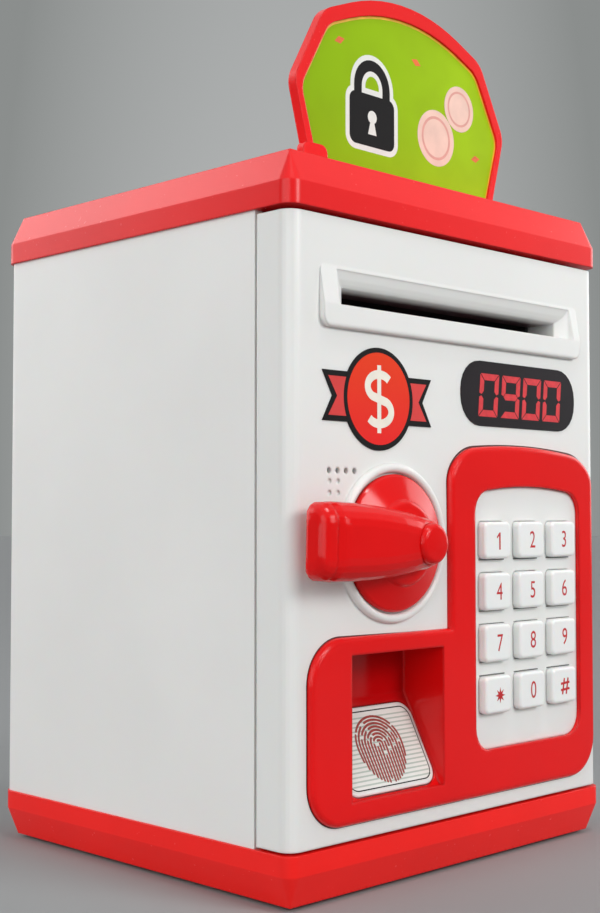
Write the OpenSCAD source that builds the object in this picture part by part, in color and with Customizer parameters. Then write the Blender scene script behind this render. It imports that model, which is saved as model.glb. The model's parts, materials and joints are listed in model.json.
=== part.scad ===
// Toy cash safe: a white cabinet on a red base, with a red lid, a sign and a front door.
// The door swings on two upright pins and carries the handle, the keys, the finger pad
// and the powered bill feed. Millimetres. The front faces -Y, right is +X, up is +Z,
// and the origin is on the ground under the middle of the safe with its handle.

/* [Cabinet] */
// Width of the white walls and of the door
body_w = 134.6; // [130:0.2:150]
// Depth of the white walls with the door
body_d = 124.8; // [118:0.2:150]
// Height of the white walls between base and lid
body_h = 162; // [159:1:180]
// Thickness of the side and rear walls
wall_t = 2.5; // [2:0.25:3]
// Radius of the upright rear corners
corner_r = 3; // [3:0.5:6]

/* [Base] */
// How far the base stands out past the walls
base_lip = 0.45; // [0.2:0.05:1.5]
// Height of the upright band of the base
base_band = 5.3; // [4:0.1:8]
// Height of the slope under the band
base_slope_h = 8.1; // [6:0.1:10]
// How far the slope draws in
base_slope_in = 3.2; // [2:0.1:3.4]
// Thickness of the base's floor
base_floor = 2.5; // [2:0.25:3.5]
// Thickness of the base's walls
base_wall = 4; // [3.6:0.2:5]
// How far the feet stand below the base
foot_out = 1; // [0.6:0.1:2]
// Radius of a foot
foot_r = 6; // [4:0.5:8]
// Distance of a foot's middle from the cabinet's sides
foot_side = 16; // [12:0.5:30]
// Distance of a foot's middle from the front and the back
foot_end = 22; // [18:0.5:40]

/* [Lid] */
// How far the lid stands out past the walls
lid_lip = 0.9; // [0.4:0.1:1.5]
// Height of the upright band of the lid
lid_band = 6.1; // [4:0.1:8]
// Height of the slope above the band
lid_slope_h = 8.5; // [6:0.1:10]
// How far the slope draws in
lid_slope_in = 3.8; // [2:0.1:3.8]
// Thickness of the lid's top
lid_top = 2.5; // [2:0.25:3.5]
// Length of the coin slot
coin_slot_l = 35; // [30:1:40]
// Width of the coin slot
coin_slot_w = 5; // [4.5:0.1:6]
// How far the coin slot lies behind the lid's middle
coin_slot_back = 6; // [0:1:20]

/* [Sign] */
// Width of the sign at its widest
sign_w = 92.8; // [88:0.2:100]
// Width of the sign at its foot
sign_foot_w = 78.4; // [74:0.2:84]
// Height of the sign above the lid
sign_h = 57; // [50:0.5:65]
// Radius of the arch on top of the sign
sign_arch = 64; // [55:1:80]
// Thickness of the sign's panel
sign_t = 2; // [1.6:0.1:3]
// Width of the rim at the sides
rim_side = 2.6; // [2:0.1:4]
// Width of the rim at the top
rim_top = 5.2; // [3:0.1:6]
// How far the rim stands out of the panel
rim_out = 1; // [0.6:0.1:2]
// Distance of the sign's panel behind the door's front
sign_back = 20.5; // [18:0.5:24]
// How deep the sign's foot sits in the lid
sign_seat = 1.6; // [1:0.1:1.8]
// Distance of the sign's clip from the middle
clip_x = -40.9; // [-44:0.1:-36]
// Length of the sign's clip
clip_l = 9.3; // [7:0.1:12]
// Height of the sign's clip
clip_h = 8.4; // [5:0.1:10]
// Thickness of the sign's clip
clip_t = 2.6; // [1.8:0.1:4]

/* [Door] */
// Depth of the door's sides
door_t = 12; // [12:0.2:14]
// Thickness of the door's front and sides
skin_t = 2.2; // [1.8:0.1:2.5]
// Radius of the door's upright front corners
door_r = 4; // [3.4:0.1:5]
// Gap between the door and the base
gap_low = 0.7; // [0.5:0.1:1]
// Gap between the door and the lid
gap_high = 1.2; // [0.8:0.1:1.6]
// Gap between the door's sides and the cabinet
gap_side = 0.8; // [0.6:0.1:1.2]
// Distance of the hinge line from the right side and from the door's back
hinge_in = 5.5; // [5.2:0.1:6]
// Radius of a hinge pin
pin_r = 1.6; // [1.3:0.1:1.8]
// Length of a hinge pin inside the door
pin_in_door = 9; // [6:0.5:12]
// Radial play of the turning and sliding fits
play = 0.05; // [0.03:0.01:0.08]

/* [Bill slot] */
// Distance of the slot's middle below the lid
slot_drop = 21.8; // [20:0.1:23]
// Clear height of the slot
slot_h = 4.6; // [4.5:0.1:5]
// Distance of the slot from the door's left side
slot_left = 21.1; // [20:0.1:24]
// Distance of the slot from the door's right side
slot_right = 18.7; // [18:0.1:24]
// Distance of the raised frame from the door's sides
frame_side = 10.6; // [9:0.1:13]
// Height of the raised frame
frame_h = 16.2; // [15:0.1:17]
// How far the frame's lower lip stands out
frame_out = 1.8; // [1:0.1:2.5]
// Height of the slot's mouth at the face
mouth_h = 9.2; // [7:0.1:9.6]
// How far the mouth reaches past both ends of the slot
mouth_side = 4.3; // [2:0.1:5]
// Depth of the mouth's funnel
mouth_d = 2.4; // [1.5:0.1:4]

/* [Badge and numeral strip] */
// Thickness of the printed labels
label_t = 0.3; // [0.2:0.05:0.4]
// Distance of the badge's middle from the door's left side
badge_in = 32.7; // [30:0.1:36]
// Gap between the badge and the slot's frame above it
badge_high = 3.85; // [3:0.05:6]
// Gap between the badge and the ring under it
badge_low = 3.2; // [2:0.1:6]
// Distance between the tips of the badge's ribbon
ribbon_w = 42.8; // [40:0.2:44]
// Height of the ribbon's tips as a part of the disc's radius
ribbon_part = 0.956; // [0.8:0.01:1]
// Distance of the numeral strip's middle below the lid
strip_drop = 43.2; // [42:0.1:44]
// Distance of the strip's left end from the left edge of the bezel's tall part
strip_left = 6.2; // [4:0.1:10]
// Distance of the strip's right end from the door's right side
strip_right = 12; // [10:0.1:16]
// Height of the numeral strip
strip_h = 18.7; // [17:0.1:19]

/* [Bezel] */
// How far the red bezel stands out of the door
bezel_out = 1.8; // [1.2:0.1:2]
// Distance of the bezel's tall part from the door's left side
bezel_in = 61; // [58:0.1:64]
// Distance of the bezel from the door's right side
bezel_side = 4.1; // [4:0.1:6]
// Bottom edge of the bezel above the base
bezel_z0 = 4.8; // [4:0.1:5.5]
// Distance of the bezel's top below the lid
bezel_drop = 57.7; // [55:0.1:62]
// Distance of the bezel's low part from the door's left side
bezel_low_in = 6; // [4.5:0.1:8]
// Height of the bezel's low part
bezel_low_h = 47.9; // [47:0.1:48.5]
// Corner radius of the bezel
bezel_r = 11.5; // [7:0.5:12]
// Radius of the arch over the bezel and the keypad
arch_r = 150; // [120:5:400]
// Rounding of the bezel's front edges
bezel_edge = 1.5; // [0.6:0.1:1.6]

/* [Keypad] */
// Red margin left of the keypad plate
pad_left = 10.5; // [9:0.1:12]
// Red margin right of the keypad plate
pad_right = 8; // [6:0.1:10]
// Red margin under the keypad plate
pad_low = 12.8; // [10:0.1:15]
// Red margin over the keypad plate
pad_high = 12; // [10:0.1:15]
// Corner radius of the keypad plate
keypad_r = 6.5; // [5:0.5:8]
// How far the keypad plate stands out of the door
keypad_out = 0.5; // [0.2:0.1:1.1]
// White margin left of the keys
key_left = 2.8; // [2.6:0.1:5]
// White margin right of the keys
key_right = 3.8; // [2.6:0.1:5]
// White margin under the keys
key_low = 10.1; // [8:0.1:12]
// White margin over the keys
key_high = 10.2; // [8:0.1:12]
// Gap between two keys of a row
key_gap_x = 4.2; // [3:0.1:5]
// Gap between two rows of keys
key_gap_z = 4; // [3:0.1:5]
// How far a key stands out of the plate
key_out = 2.6; // [2:0.1:3.2]
// Corner radius of a key
key_r = 1.6; // [1.2:0.1:2]
// Rounding of a key's front edges
key_edge = 0.9; // [0.4:0.1:1.1]
// Clearance round a key
key_play = 0.15; // [0.1:0.05:0.4]
// How far a key travels
key_travel = 1.2; // [0.8:0.1:1.4]

/* [Finger pocket] */
// Distance of the pocket's mouth from the left edge of the bezel
pocket_left = 14.6; // [13:0.1:18]
// Distance of the pocket's mouth from the bezel's tall part
pocket_right = 3.7; // [2:0.1:5]
// Red margin under the pocket's mouth
pocket_low = 5.7; // [5:0.1:7]
// Red margin over the pocket's mouth
pocket_high = 4.7; // [4:0.1:6]
// Depth of the pocket
pocket_d = 12.7; // [12:0.1:13]
// Wall of the pocket
pocket_t = 1.5; // [1.2:0.1:1.6]
// How far the pad leans back from upright, in degrees
pad_lean = 27.8; // [24:0.2:28]
// Red margin at both sides of the finger pad
finger_side = 0.6; // [0.5:0.05:3]
// Red margin under the finger pad, along the slope
finger_low = 0.7; // [0.6:0.1:2]
// Red margin over the finger pad, along the slope
finger_high = 2.8; // [2.4:0.1:6]
// Corner radius of the finger pad
finger_r = 4.5; // [3:0.25:5]
// How far the finger pad travels
finger_travel = 0.8; // [0.5:0.1:0.9]

/* [Handle] */
// Distance of the handle's axis from the door's left side
handle_in = 38; // [37:0.1:40]
// Gap between the white ring and the bezel's low part
ring_low = 2.6; // [2:0.1:4]
// Outer radius of the white ring
ring_r = 21.2; // [20.6:0.1:21.6]
// Width of the white ring
ring_w = 2.4; // [1.6:0.1:2.8]
// How far the white ring stands out
ring_out = 1.7; // [1:0.1:2]
// Clearance between the ring and the disc
disc_gap = 0.5; // [0.3:0.1:0.6]
// Height of the disc's step
disc_h = 6.2; // [5.6:0.1:7]
// Distance from the axis to the end of the lever
lever_l = 38; // [32:0.1:39]
// Height of the lever at its grip end
lever_grip_h = 20; // [17:0.2:21]
// Height of the lever at its hub
lever_hub_h = 14.4; // [13:0.2:16]
// Distance of the lever's front from the door
lever_out = 14.6; // [14:0.1:18]
// Distance of the lever's back from the door
lever_in = 4.2; // [3.8:0.1:5]
// Radius of the cap on the axis
cap_r = 5.3; // [4.5:0.1:5.8]
// How far the cap stands out of the lever
cap_out = 1.3; // [0.8:0.1:3]
// How far the lever's grip end points up at rest, in degrees
lever_tilt = 1.5; // [0:0.1:3]
// Radius of the handle's shaft
shaft_r = 3; // [2.5:0.1:3.2]

/* [Latch] */
// Radius of the notched disc
cam_r = 10; // [9:0.5:11]
// Thickness of the notched disc
cam_t = 3; // [2:0.5:3.5]
// Width of the latch tongue
tongue_w = 8; // [6:0.5:9]
// Thickness of the latch tongue
tongue_t = 2; // [1.5:0.1:2.2]
// How far the keeper stands out of the left wall
keeper_out = 3.4; // [2.8:0.1:3.4]
// Thickness of the keeper's plate
keeper_t = 1; // [0.8:0.1:1]
// Gap between the tongue's tip and the left wall
tongue_gap = 1.4; // [1.4:0.1:1.6]
// Length of the lock coil
coil_l = 10; // [8:0.5:11]
// Radius of the lock plunger
plunger_r = 2; // [1.6:0.1:2.2]
// Stroke of the lock plunger
plunger_travel = 3; // [2.5:0.1:3]

/* [Bill feed] */
// Module of the gears
gear_m = 0.6; // [0.5:0.05:0.6]
// Teeth of the motor pinion and of the double gear's small wheel
teeth_small = 12; // [11:1:12]
// Teeth of the double gear's large wheel
teeth_large = 36; // [30:1:36]
// Teeth of the roller gear
teeth_roller = 30; // [28:1:30]
// Thinning of each tooth for backlash
gear_thin = 0.1; // [0.06:0.01:0.15]
// Thickness of a gear
gear_t = 2.6; // [2:0.1:2.8]
// Radius of the rubber drive tyres
drive_r = 5.5; // [5:0.1:5.8]
// Radius of the rubber idler tyres
idler_r = 4.5; // [4:0.1:4.6]
// Gap between the two sets of tyres
nip = 0.3; // [0.2:0.1:0.5]
// Length of a tyre
tyre_l = 12; // [8:0.5:14]
// Radius of the roller axles
axle_r = 1.5; // [1.2:0.1:1.6]
// Distance of the rollers behind the door's back
roller_back = 13; // [12.5:0.1:13.5]
// Thickness of the roller frame's plates
plate_t = 1.6; // [1.2:0.1:1.8]
// Radius of the motor's can
motor_r = 10; // [9:0.1:10]
// Length of the motor's can
motor_l = 25; // [20:0.5:28]

/* [Door housing] */
// How far the housing stands behind the door
house_d = 27; // [26.5:0.1:28]
// Wall of the housing
house_t = 2; // [1.6:0.1:2]
// Distance of the housing from the door's left side
house_in = 13; // [12.6:0.1:14]
// Distance of the housing from the door's right side
house_side = 8.5; // [8:0.1:9]
// Bottom of the housing above the base
house_z0 = 9; // [8.8:0.1:12]
// Top of the housing below the lid
house_z1 = 4.2; // [4:0.1:4.6]
// Radius of a battery cell
cell_r = 7.1; // [7:0.05:7.2]
// Length of a battery cell
cell_l = 50.2; // [49.5:0.1:50.5]
// Radius of a cover screw
screw_r = 1.3; // [1.1:0.1:1.5]
// Radius of the speaker
speaker_r = 13.5; // [11:0.5:14]
// Distance of the speaker's middle from the door's left side
speaker_in = 18.6; // [17:0.1:20]
// Height of the speaker's middle above the handle's axis
speaker_up = 18.5; // [16:0.5:22]

/* [Hidden] */
$fn = 64;
white = [0.89, 0.89, 0.88];
red = [0.86, 0.11, 0.12];
steel = [0.7, 0.71, 0.73];
black = [0.12, 0.12, 0.12];
eps = 0.5;

// Levels and planes
x_side = body_w / 2;
slot_x0 = slot_left - x_side;
slot_x1 = x_side - slot_right;
slot_x = (slot_x0 + slot_x1) / 2;
slot_w = slot_x1 - slot_x0;
bezel_x0 = bezel_in - x_side;
bezel_x1 = x_side - bezel_side;
bezel_low_x0 = bezel_low_in - x_side;
bezel_h = body_h - bezel_z0 - bezel_drop;
handle_x = handle_in - x_side;
handle_z = bezel_z0 + bezel_low_h + ring_low + ring_r;
house_x0 = house_in - x_side;
house_x1 = x_side - house_side;
speaker_x = speaker_in - x_side;
speaker_rim = 2.2;
speaker_h = 7.4;
magnet_r = 0.6 * speaker_r;
magnet_h = 2;
speaker_z = handle_z + speaker_up;

y_face = (lever_out + cap_out - body_d - lid_lip) / 2;
y_mid = y_face + body_d / 2;
y_back = y_face + body_d;
y_skin = y_face + skin_t;
y_door = y_face + door_t;
y_house = y_door + house_d;
z_body = foot_out + base_slope_h + base_band;
z_lid = z_body + body_h;
z_deck = z_lid + lid_band + lid_slope_h;
z_door0 = z_body + gap_low;
z_door1 = z_lid - gap_high;
hinge_x = x_side - hinge_in;
hinge_y = y_door - hinge_in;
base_corner = corner_r + base_lip;
lid_corner = corner_r + lid_lip;

// Screws: their heads are twice the shank's radius
head_h = 1.6;
cross_w = 0.7;

// Feet, tray and hollow of the lid
foot_seat = 0.6;
tray_back = 3;
tray_r = 2;
lid_inset = 1;

// Screw posts of the cabinet, clear of the door housing's swing
post_r = 4;
post_h = 10;
post_end = 2;
web_t = 2;
posts = [for (s = [-1, 1]) each [[s * (x_side - 7), y_mid - 5], [s * (x_side - 8.5), y_back - 8.5]]];

// Screw posts of the door; the places of the two low ones are parts of the width
door_post_r = 3;
door_post_in = 6.4;
door_post_end = 8;
door_post_low = 14;
door_post_near = 0.19;
door_post_far = 0.37;

// Rim round the coin slot
coin_rim_w = 1.2;
coin_rim_h = 0.7;

// Sign: its waist and shoulders are parts of its height and width
sign_waist = 0.463;
sign_shoulder = 0.84;
shoulder_in = 0.75;
waist_r = 7;
shoulder_r = 9;
tab_in = 4;
label_up = 0.8;

// Bill feed
z_bill = z_lid - slot_drop;
frame_low = 5.9;
roller_y = y_door + roller_back;
drive_z = z_bill + nip / 2 + drive_r;
idler_z = z_bill - nip / 2 - idler_r;
plate_low = 4;
plate_high = 6;
guide_t = 1.2;
guide_gap = 0.8;
bush_r = 3;
motor_flat = 0.76;
motor_shaft_r = 1;
motor_shaft_in = 8.5;
axle_end = 0.8;
tyre_edge = 0.5;
double_front = 5.5;
motor_rear = 2;
span_roller = gear_m * (teeth_small + teeth_roller) / 2;
span_motor = gear_m * (teeth_small + teeth_large) / 2;
double_y = roller_y - double_front;
double_z = drive_z - sqrt(pow(span_roller, 2) - pow(double_front, 2));
motor_y = double_y + motor_rear;
motor_z = double_z - sqrt(pow(span_motor, 2) - pow(motor_rear, 2));
frame_x0 = slot_x0 - plate_t - 1;
frame_x1 = slot_x1 + 0.2;
gear_x = frame_x1 + 0.6;
gear_x2 = gear_x + gear_t + 0.6;

// Directions from each gear to the next in the YZ plane
aim_roller = atan2(double_z - drive_z, double_y - roller_y);
aim_motor = atan2(motor_z - double_z, motor_y - double_y);

// Housing and battery bay
cover_gap = 0.2;
cover_x0 = skin_t - x_side + cover_gap;
cover_z0 = z_door0 + skin_t + cover_gap;
cover_z1 = z_door1 - skin_t - cover_gap;
plate_back = 2;
cell_gap = 0.4;
cell_z = function (i) z_body + 22.4 + cell_r + i * (2 * cell_r + cell_gap);
bay_z0 = cell_z(0) - cell_r - 0.5;
bay_z1 = cell_z(2) + cell_r + 0.5;
contact_t = 0.5;
contact_w = 8;
spring_l = 2.4;
bay_wall = 1.2;
cell_play = 0.25;
nub_r = 2.6;
nub_l = 1.2;
exit_h = 7.2;
slit_play = 1.5;
bay_x1 = house_x1 - house_t - 1;
bay_x0 = bay_x1 - contact_t - 0.1 - cell_l - spring_l;
bay_mid = (bay_x0 + bay_x1) / 2;
bay_screw_z = bay_z1 + 2.4;
bay_screw_r = 1.1;
bay_y = y_house - house_t - 2 * cell_r - 0.7;

// Keypad: the plate, the keys, and the depth of their backs and of the rubber sheet
pad_x0 = bezel_x0 + pad_left;
keypad_w = bezel_x1 - pad_right - pad_x0;
keypad_z0 = bezel_z0 + pad_low;
keypad_h = bezel_h - pad_low - pad_high;
key_w = (keypad_w - key_left - key_right - 2 * key_gap_x) / 3;
key_h = (keypad_h - key_low - key_high - 3 * key_gap_z) / 4;
key_pitch_x = key_w + key_gap_x;
key_pitch_z = key_h + key_gap_z;
key_x0 = pad_x0 + key_left + key_w / 2;
key_z0 = keypad_z0 + key_low + key_h / 2;
flange_t = 1;
key_back = skin_t + 1.2 + 0.1;
flange_side = 0.9;
sheet_t = 1;
sheet_in = 4;
rubber_h = 1.1;
rubber_r = 4;
board_t = 1.6;
membrane_y = key_back + flange_t + key_travel + rubber_h + 0.1;

// Handle, latch and lock
axis_z = z_body + handle_z;
coil_plate = 1.2;
coil_r = 5.2;
coil_side = 6;
yoke_t = 0.8;
plunger_head_r = 3.4;
plunger_head_t = 1.2;
cam_mid = y_face + 11.4;
cam_y = cam_mid - cam_t / 2;
plunger_tip = handle_x + cam_r + 0.8;
coil_x0 = plunger_tip + 4;
coil_x1 = coil_x0 + coil_l + 2 * coil_plate;
plunger_tail = coil_x1 + plunger_travel + 0.6;
boss_d = 8.5;
hub_r = shaft_r + 2.6;
tongue_y = y_door + 3.8;
tongue_l = handle_x + x_side - wall_t - tongue_gap;
notch_d = cam_r - hub_r - 0.6;
notch_w = 2 * plunger_r + 1;
keeper_h = 18;
keeper_d = 11.6;
ridge_t = 2.1;
ridge_gap = 0.5;

// Badge: its disc fits between the slot's frame and the ring
badge_x = badge_in - x_side;
badge_top = body_h - slot_drop - slot_h / 2 - frame_low - badge_high;
badge_foot = handle_z + ring_r + badge_low;
badge_r = (badge_top - badge_foot) / 2;
ribbon_notch = 3.7;

// Finger pocket
pocket_x0 = bezel_low_x0 + pocket_left;
pocket_w = bezel_x0 - pocket_right - pocket_x0;
pocket_z0 = bezel_z0 + pocket_low;
pocket_h = bezel_low_h - pocket_low - pocket_high;
finger_w = pocket_w - 2 * finger_side;
finger_l = pocket_d / sin(pad_lean) - finger_low - finger_high;
slope_y = function (s) y_face + s * sin(pad_lean);
slope_z = function (s) z_body + pocket_z0 + s * cos(pad_lean);
finger_s = finger_low + finger_l / 2;
finger_out = 0.3;
finger_gap = 0.3;
finger_back = 2.2;
finger_flange = 1;
finger_lip_low = 0.2;
finger_lip_high = 0.8;
flange_in = finger_back + finger_flange;
switch_w = 6;
switch_h = 3;
dome_r = 1.7;
dome_h = 0.4;

// A point list with its corners rounded: each entry is [x, y, radius]
function corner(a, p, b, r, n) =
    let (u = (a - p) / norm(a - p), v = (b - p) / norm(b - p),
        half = acos(u * v) / 2, c = p + (u + v) / norm(u + v) * r / sin(half),
        s = p + u * r / tan(half) - c, e = p + v * r / tan(half) - c,
        a0 = atan2(s.y, s.x), turn = (atan2(e.y, e.x) - a0 + 540) % 360 - 180)
    [for (i = [0:n]) c + r * [cos(a0 + turn * i / n), sin(a0 + turn * i / n)]];

function rounded(pts, n = 6) =
    let (m = len(pts))
    [for (i = [0:m - 1])
        let (p = pts[i], a = pts[(i + m - 1) % m], b = pts[(i + 1) % m])
        each p.z > 0 ? corner([a.x, a.y], [p.x, p.y], [b.x, b.y], p.z, n) : [[p.x, p.y]]];

function box_outline(x0, x1, y0, y1, r) =
    rounded([[x0, y0, r], [x1, y0, r], [x1, y1, r], [x0, y1, r]]);

// A box outline whose top is an arch of radius big
function arched(x0, x1, y0, y1, r, big, n = 6) =
    let (mid = (x0 + x1) / 2, half = (x1 - x0) / 2 - r,
        cy = y1 - big, ey = cy + sqrt(pow(big - r, 2) - half * half), q = asin(half / (big - r)))
    concat(corner([x0, y1], [x0, y0], [x1, y0], r, n), corner([x0, y0], [x1, y0], [x1, y1], r, n),
        [for (i = [0:n]) let (t = i * (90 - q) / n) [x1 - r + r * cos(t), ey + r * sin(t)]],
        [for (i = [1:n - 1]) let (t = 90 - q + 2 * q * i / n) [mid + big * cos(t), cy + big * sin(t)]],
        [for (i = [0:n]) let (t = 90 + q + i * (90 - q) / n) [x0 + r + r * cos(t), ey + r * sin(t)]]);

// Block with round upright corners; its sides follow a list of [inset, height] pairs
module edged_block(w, d, r, sides) {
    function across(half) = concat([for (s = sides) [half - s.x, s.y]],
        [for (i = [len(sides) - 1:-1:0]) [sides[i].x - half, sides[i].y]]);
    for (sx = [-1, 1], sy = [-1, 1])
        translate([sx * (w / 2 - r), sy * (d / 2 - r)])
            rotate_extrude($fn = 32)
                polygon(concat([[0, sides[0].y]], [for (s = sides) [r - s.x, s.y]],
                    [[0, sides[len(sides) - 1].y]]));
    rotate([90, 0, 90])
        translate([0, 0, r - w / 2]) linear_extrude(w - 2 * r) polygon(across(d / 2));
    rotate([90, 0, 0])
        translate([0, 0, r - d / 2]) linear_extrude(d - 2 * r) polygon(across(w / 2));
}

// Sides of a block of height h whose top edge is rounded by e
function soft_sides(h, e, n = 4) =
    concat([[0, 0]], [for (i = [0:n]) [e - e * cos(90 * i / n), h - e + e * sin(90 * i / n)]]);

// Puts a drawing on the door's front: its X is right, its Y is up, its Z comes outward
module on_face(x = 0, z = 0, out = 0)
    translate([x, y_face - out, z_body + z]) rotate([90, 0, 0]) children();

// Puts a turned shape along the X axis at the given place
module along_x(x, y, z) translate([x, y, z]) rotate([90, 0, 90]) children();

// Solid of a plan outline between two heights
module upright(z0, z1, pts) translate([0, 0, z0]) linear_extrude(z1 - z0) polygon(pts);

module block(x0, x1, y0, y1, z0, z1) translate([x0, y0, z0]) cube([x1 - x0, y1 - y0, z1 - z0]);

module tube(r, bore, h) difference() {
    cylinder(r = r, h = h);
    translate([0, 0, -eps]) cylinder(r = bore, h = h + 2 * eps);
}

// Screw standing on its head: the shank points up
module screw(r, l) {
    difference() {
        translate([0, 0, -head_h]) cylinder(r = 2 * r, h = head_h, $fn = 32);
        for (a = [0, 90]) rotate(a) translate([-1.1 * r, -cross_w / 2, -head_h - eps])
            cube([2.2 * r, cross_w, head_h / 2 + eps]);
    }
    cylinder(r = r, h = l, $fn = 24);
}

// Base with its inner tray, screw posts and foot recesses
module base() color(red) difference() {
    union() {
        difference() {
            translate([0, y_mid, foot_out])
                edged_block(body_w + 2 * base_lip, body_d + 2 * base_lip, base_corner,
                    [[base_slope_in, 0], [0, base_slope_h], [0, base_slope_h + base_band]]);
            tray(z_body + eps);
        }
        for (p = posts) translate([p.x, p.y, foot_out + base_floor / 2])
            cylinder(r = post_r, h = z_body - foot_out - base_floor / 2);
    }
    for (p = posts) translate([p.x, p.y, 0]) {
        cylinder(r = screw_r, h = z_body + eps, $fn = 24);
        cylinder(r = 2 * screw_r + 0.2, h = foot_out + head_h, $fn = 32);
    }
    feet_at() translate([0, 0, -eps]) cylinder(r = foot_r, h = foot_out + eps + foot_seat);
    translate([hinge_x, hinge_y, z_body - pin_in_door]) cylinder(r = pin_r, h = pin_in_door + eps);
}

// Space of the money tray inside the base, open to the top
module tray(top) {
    inner = x_side + base_lip - base_wall;
    upright(foot_out + base_floor, top,
        box_outline(-inner, inner, y_door + tray_back, y_back + base_lip - base_wall, tray_r));
}

module feet_at() for (sx = [-1, 1], sy = [-1, 1])
    translate([sx * (x_side - foot_side), y_mid + sy * (body_d / 2 - foot_end), 0]) children();

module feet() color(black)
    feet_at() rotate_extrude() polygon([[0, 0], [foot_r - 0.6, 0], [foot_r, 0.6],
        [foot_r, foot_out + foot_seat], [0, foot_out + foot_seat]]);

module base_screws() color(steel)
    for (p = posts) translate([p.x, p.y, foot_out + head_h]) screw(screw_r, z_body - foot_out + 6);

// Left, rear and right walls in one moulding, with screw posts at both ends
module body_shell() {
    y0 = y_door + gap_side;
    y1 = y_back;
    module wall_plan() difference() {
        polygon(rounded([[-x_side, y0, 0], [x_side, y0, 0], [x_side, y1, corner_r],
            [-x_side, y1, corner_r]]));
        polygon(rounded([[wall_t - x_side, y0 - eps, 0], [x_side - wall_t, y0 - eps, 0],
            [x_side - wall_t, y1 - wall_t, corner_r - wall_t],
            [wall_t - x_side, y1 - wall_t, corner_r - wall_t]]));
    }
    color(white) difference() {
        union() {
            translate([0, 0, z_body]) linear_extrude(body_h) wall_plan();
            for (p = posts, z = [z_body, z_lid - post_h]) translate([p.x, p.y, z]) {
                cylinder(r = post_r, h = post_h);
                web_x = x_side - abs(p.x) - wall_t / 2;
                translate([p.x > 0 ? 0 : -web_x, -web_t / 2, 0]) cube([web_x, web_t, post_h]);
            }
        }
        for (p = posts) translate([p.x, p.y, 0]) {
            translate([0, 0, z_body - eps]) cylinder(r = screw_r, h = post_h - post_end + eps, $fn = 24);
            translate([0, 0, z_lid - post_h - eps]) cylinder(r = screw_r, h = post_h + 2 * eps, $fn = 24);
        }
    }
}

// Lid with its inner hollow, screw posts, coin slot, the sign's seat and its clip
module top_cover() color(red) difference() {
    union() {
        difference() {
            translate([0, y_mid, z_lid])
                edged_block(body_w + 2 * lid_lip, body_d + 2 * lid_lip, lid_corner,
                    [[0, 0], [0, lid_band], [lid_slope_in, lid_band + lid_slope_h]]);
            inner = x_side + lid_lip - base_wall - lid_inset;
            upright(z_lid - eps, z_deck - lid_top, box_outline(-inner, inner, y_door + tray_back,
                y_back + lid_lip - base_wall - lid_inset, tray_r));
        }
        for (p = posts) translate([p.x, p.y, z_lid])
            cylinder(r = post_r, h = z_deck - z_lid - lid_top / 2);
        translate([clip_x, y_face + sign_back - rim_out, z_deck - eps]) rotate([90, 0, 0])
            linear_extrude(clip_t) polygon(rounded([[-clip_l / 2, 0, 0], [clip_l / 2, 0, 0],
                [clip_l / 2, clip_h + eps, 2.4], [-clip_l / 2, clip_h + eps, 2]]));
        coin_rim(0);
    }
    sign_tab(eps);
    for (p = posts) translate([p.x, p.y, z_lid - eps])
        cylinder(r = screw_r, h = z_deck - z_lid - lid_top - 1 + eps, $fn = 24);
    translate([hinge_x, hinge_y, z_lid - eps]) cylinder(r = pin_r, h = pin_in_door + eps);
    coin_rim(coin_rim_w);
}

// Coin slot with a low rim; a cut is deeper and smaller than the rim itself
module coin_rim(cut) {
    w = coin_slot_l + 2 * (coin_rim_w - cut);
    d = coin_slot_w + 2 * (coin_rim_w - cut);
    z0 = cut > 0 ? z_deck - lid_top - eps : z_deck - eps;
    y = y_mid + coin_slot_back;
    upright(z0, z_deck + coin_rim_h + (cut > 0 ? eps : 0),
        box_outline(-w / 2, w / 2, y - d / 2, y + d / 2, d / 2 - 0.1));
}

// Tab of the sign that sits in the lid
module sign_tab(extra)
    block(-sign_foot_w / 2 + tab_in, sign_foot_w / 2 - tab_in,
        y_face + sign_back, y_face + sign_back + sign_t,
        z_deck - sign_seat, z_deck + extra);

module lid_screws() color(steel)
    for (p = posts) translate([p.x, p.y, z_lid - post_h]) screw(screw_r, post_h + 7);

// Outline of half width w and height h over a foot of half width f
function sign_shape(w, h, f) =
    rounded(concat([[-f, 0, 0], [f, 0, 0], [w, h * sign_waist, waist_r],
            [w * shoulder_in, h * sign_shoulder, shoulder_r]],
        [for (t = [22:-4:-22]) [sign_arch * sin(t), h - sign_arch * (1 - cos(t)), 0]],
        [[-w * shoulder_in, h * sign_shoulder, shoulder_r], [-w, h * sign_waist, waist_r]]));
module sign_face() polygon(sign_shape(sign_w / 2 - rim_side, sign_h - rim_top, sign_foot_w / 2 - rim_side));
module at_sign(back) translate([0, y_face + sign_back + back, z_deck]) rotate([90, 0, 0]) children();

module sign_board() color(red) {
    difference() {
        at_sign(sign_t) linear_extrude(sign_t + rim_out)
            polygon(sign_shape(sign_w / 2, sign_h, sign_foot_w / 2));
        at_sign(0) linear_extrude(rim_out + eps) translate([0, label_up]) sign_face();
    }
    sign_tab(eps);
}

module sign_label() color([0.6, 0.74, 0.12])
    at_sign(0) linear_extrude(label_t) translate([0, label_up]) sign_face();

// Keeper on the left wall: the latch tongue turns in behind its ridge
module lock_catch() color(steel) {
    x0 = wall_t - x_side;
    front = tongue_y - ridge_gap - ridge_t;
    translate([x0, front, axis_z - keeper_h / 2]) {
        cube([keeper_t, keeper_d, keeper_h]);
        linear_extrude(keeper_h) polygon([[0, 0], [keeper_out, 0.3], [keeper_out, ridge_t], [0, ridge_t]]);
    }
}

module hinge_pins() color(steel) {
    for (z = [z_body - pin_in_door, z_door1 - pin_in_door]) translate([hinge_x, hinge_y, z])
        cylinder(r = pin_r, h = z < z_lid / 2 ? 2 * pin_in_door + gap_low : 2 * pin_in_door + gap_high);
}

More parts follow.
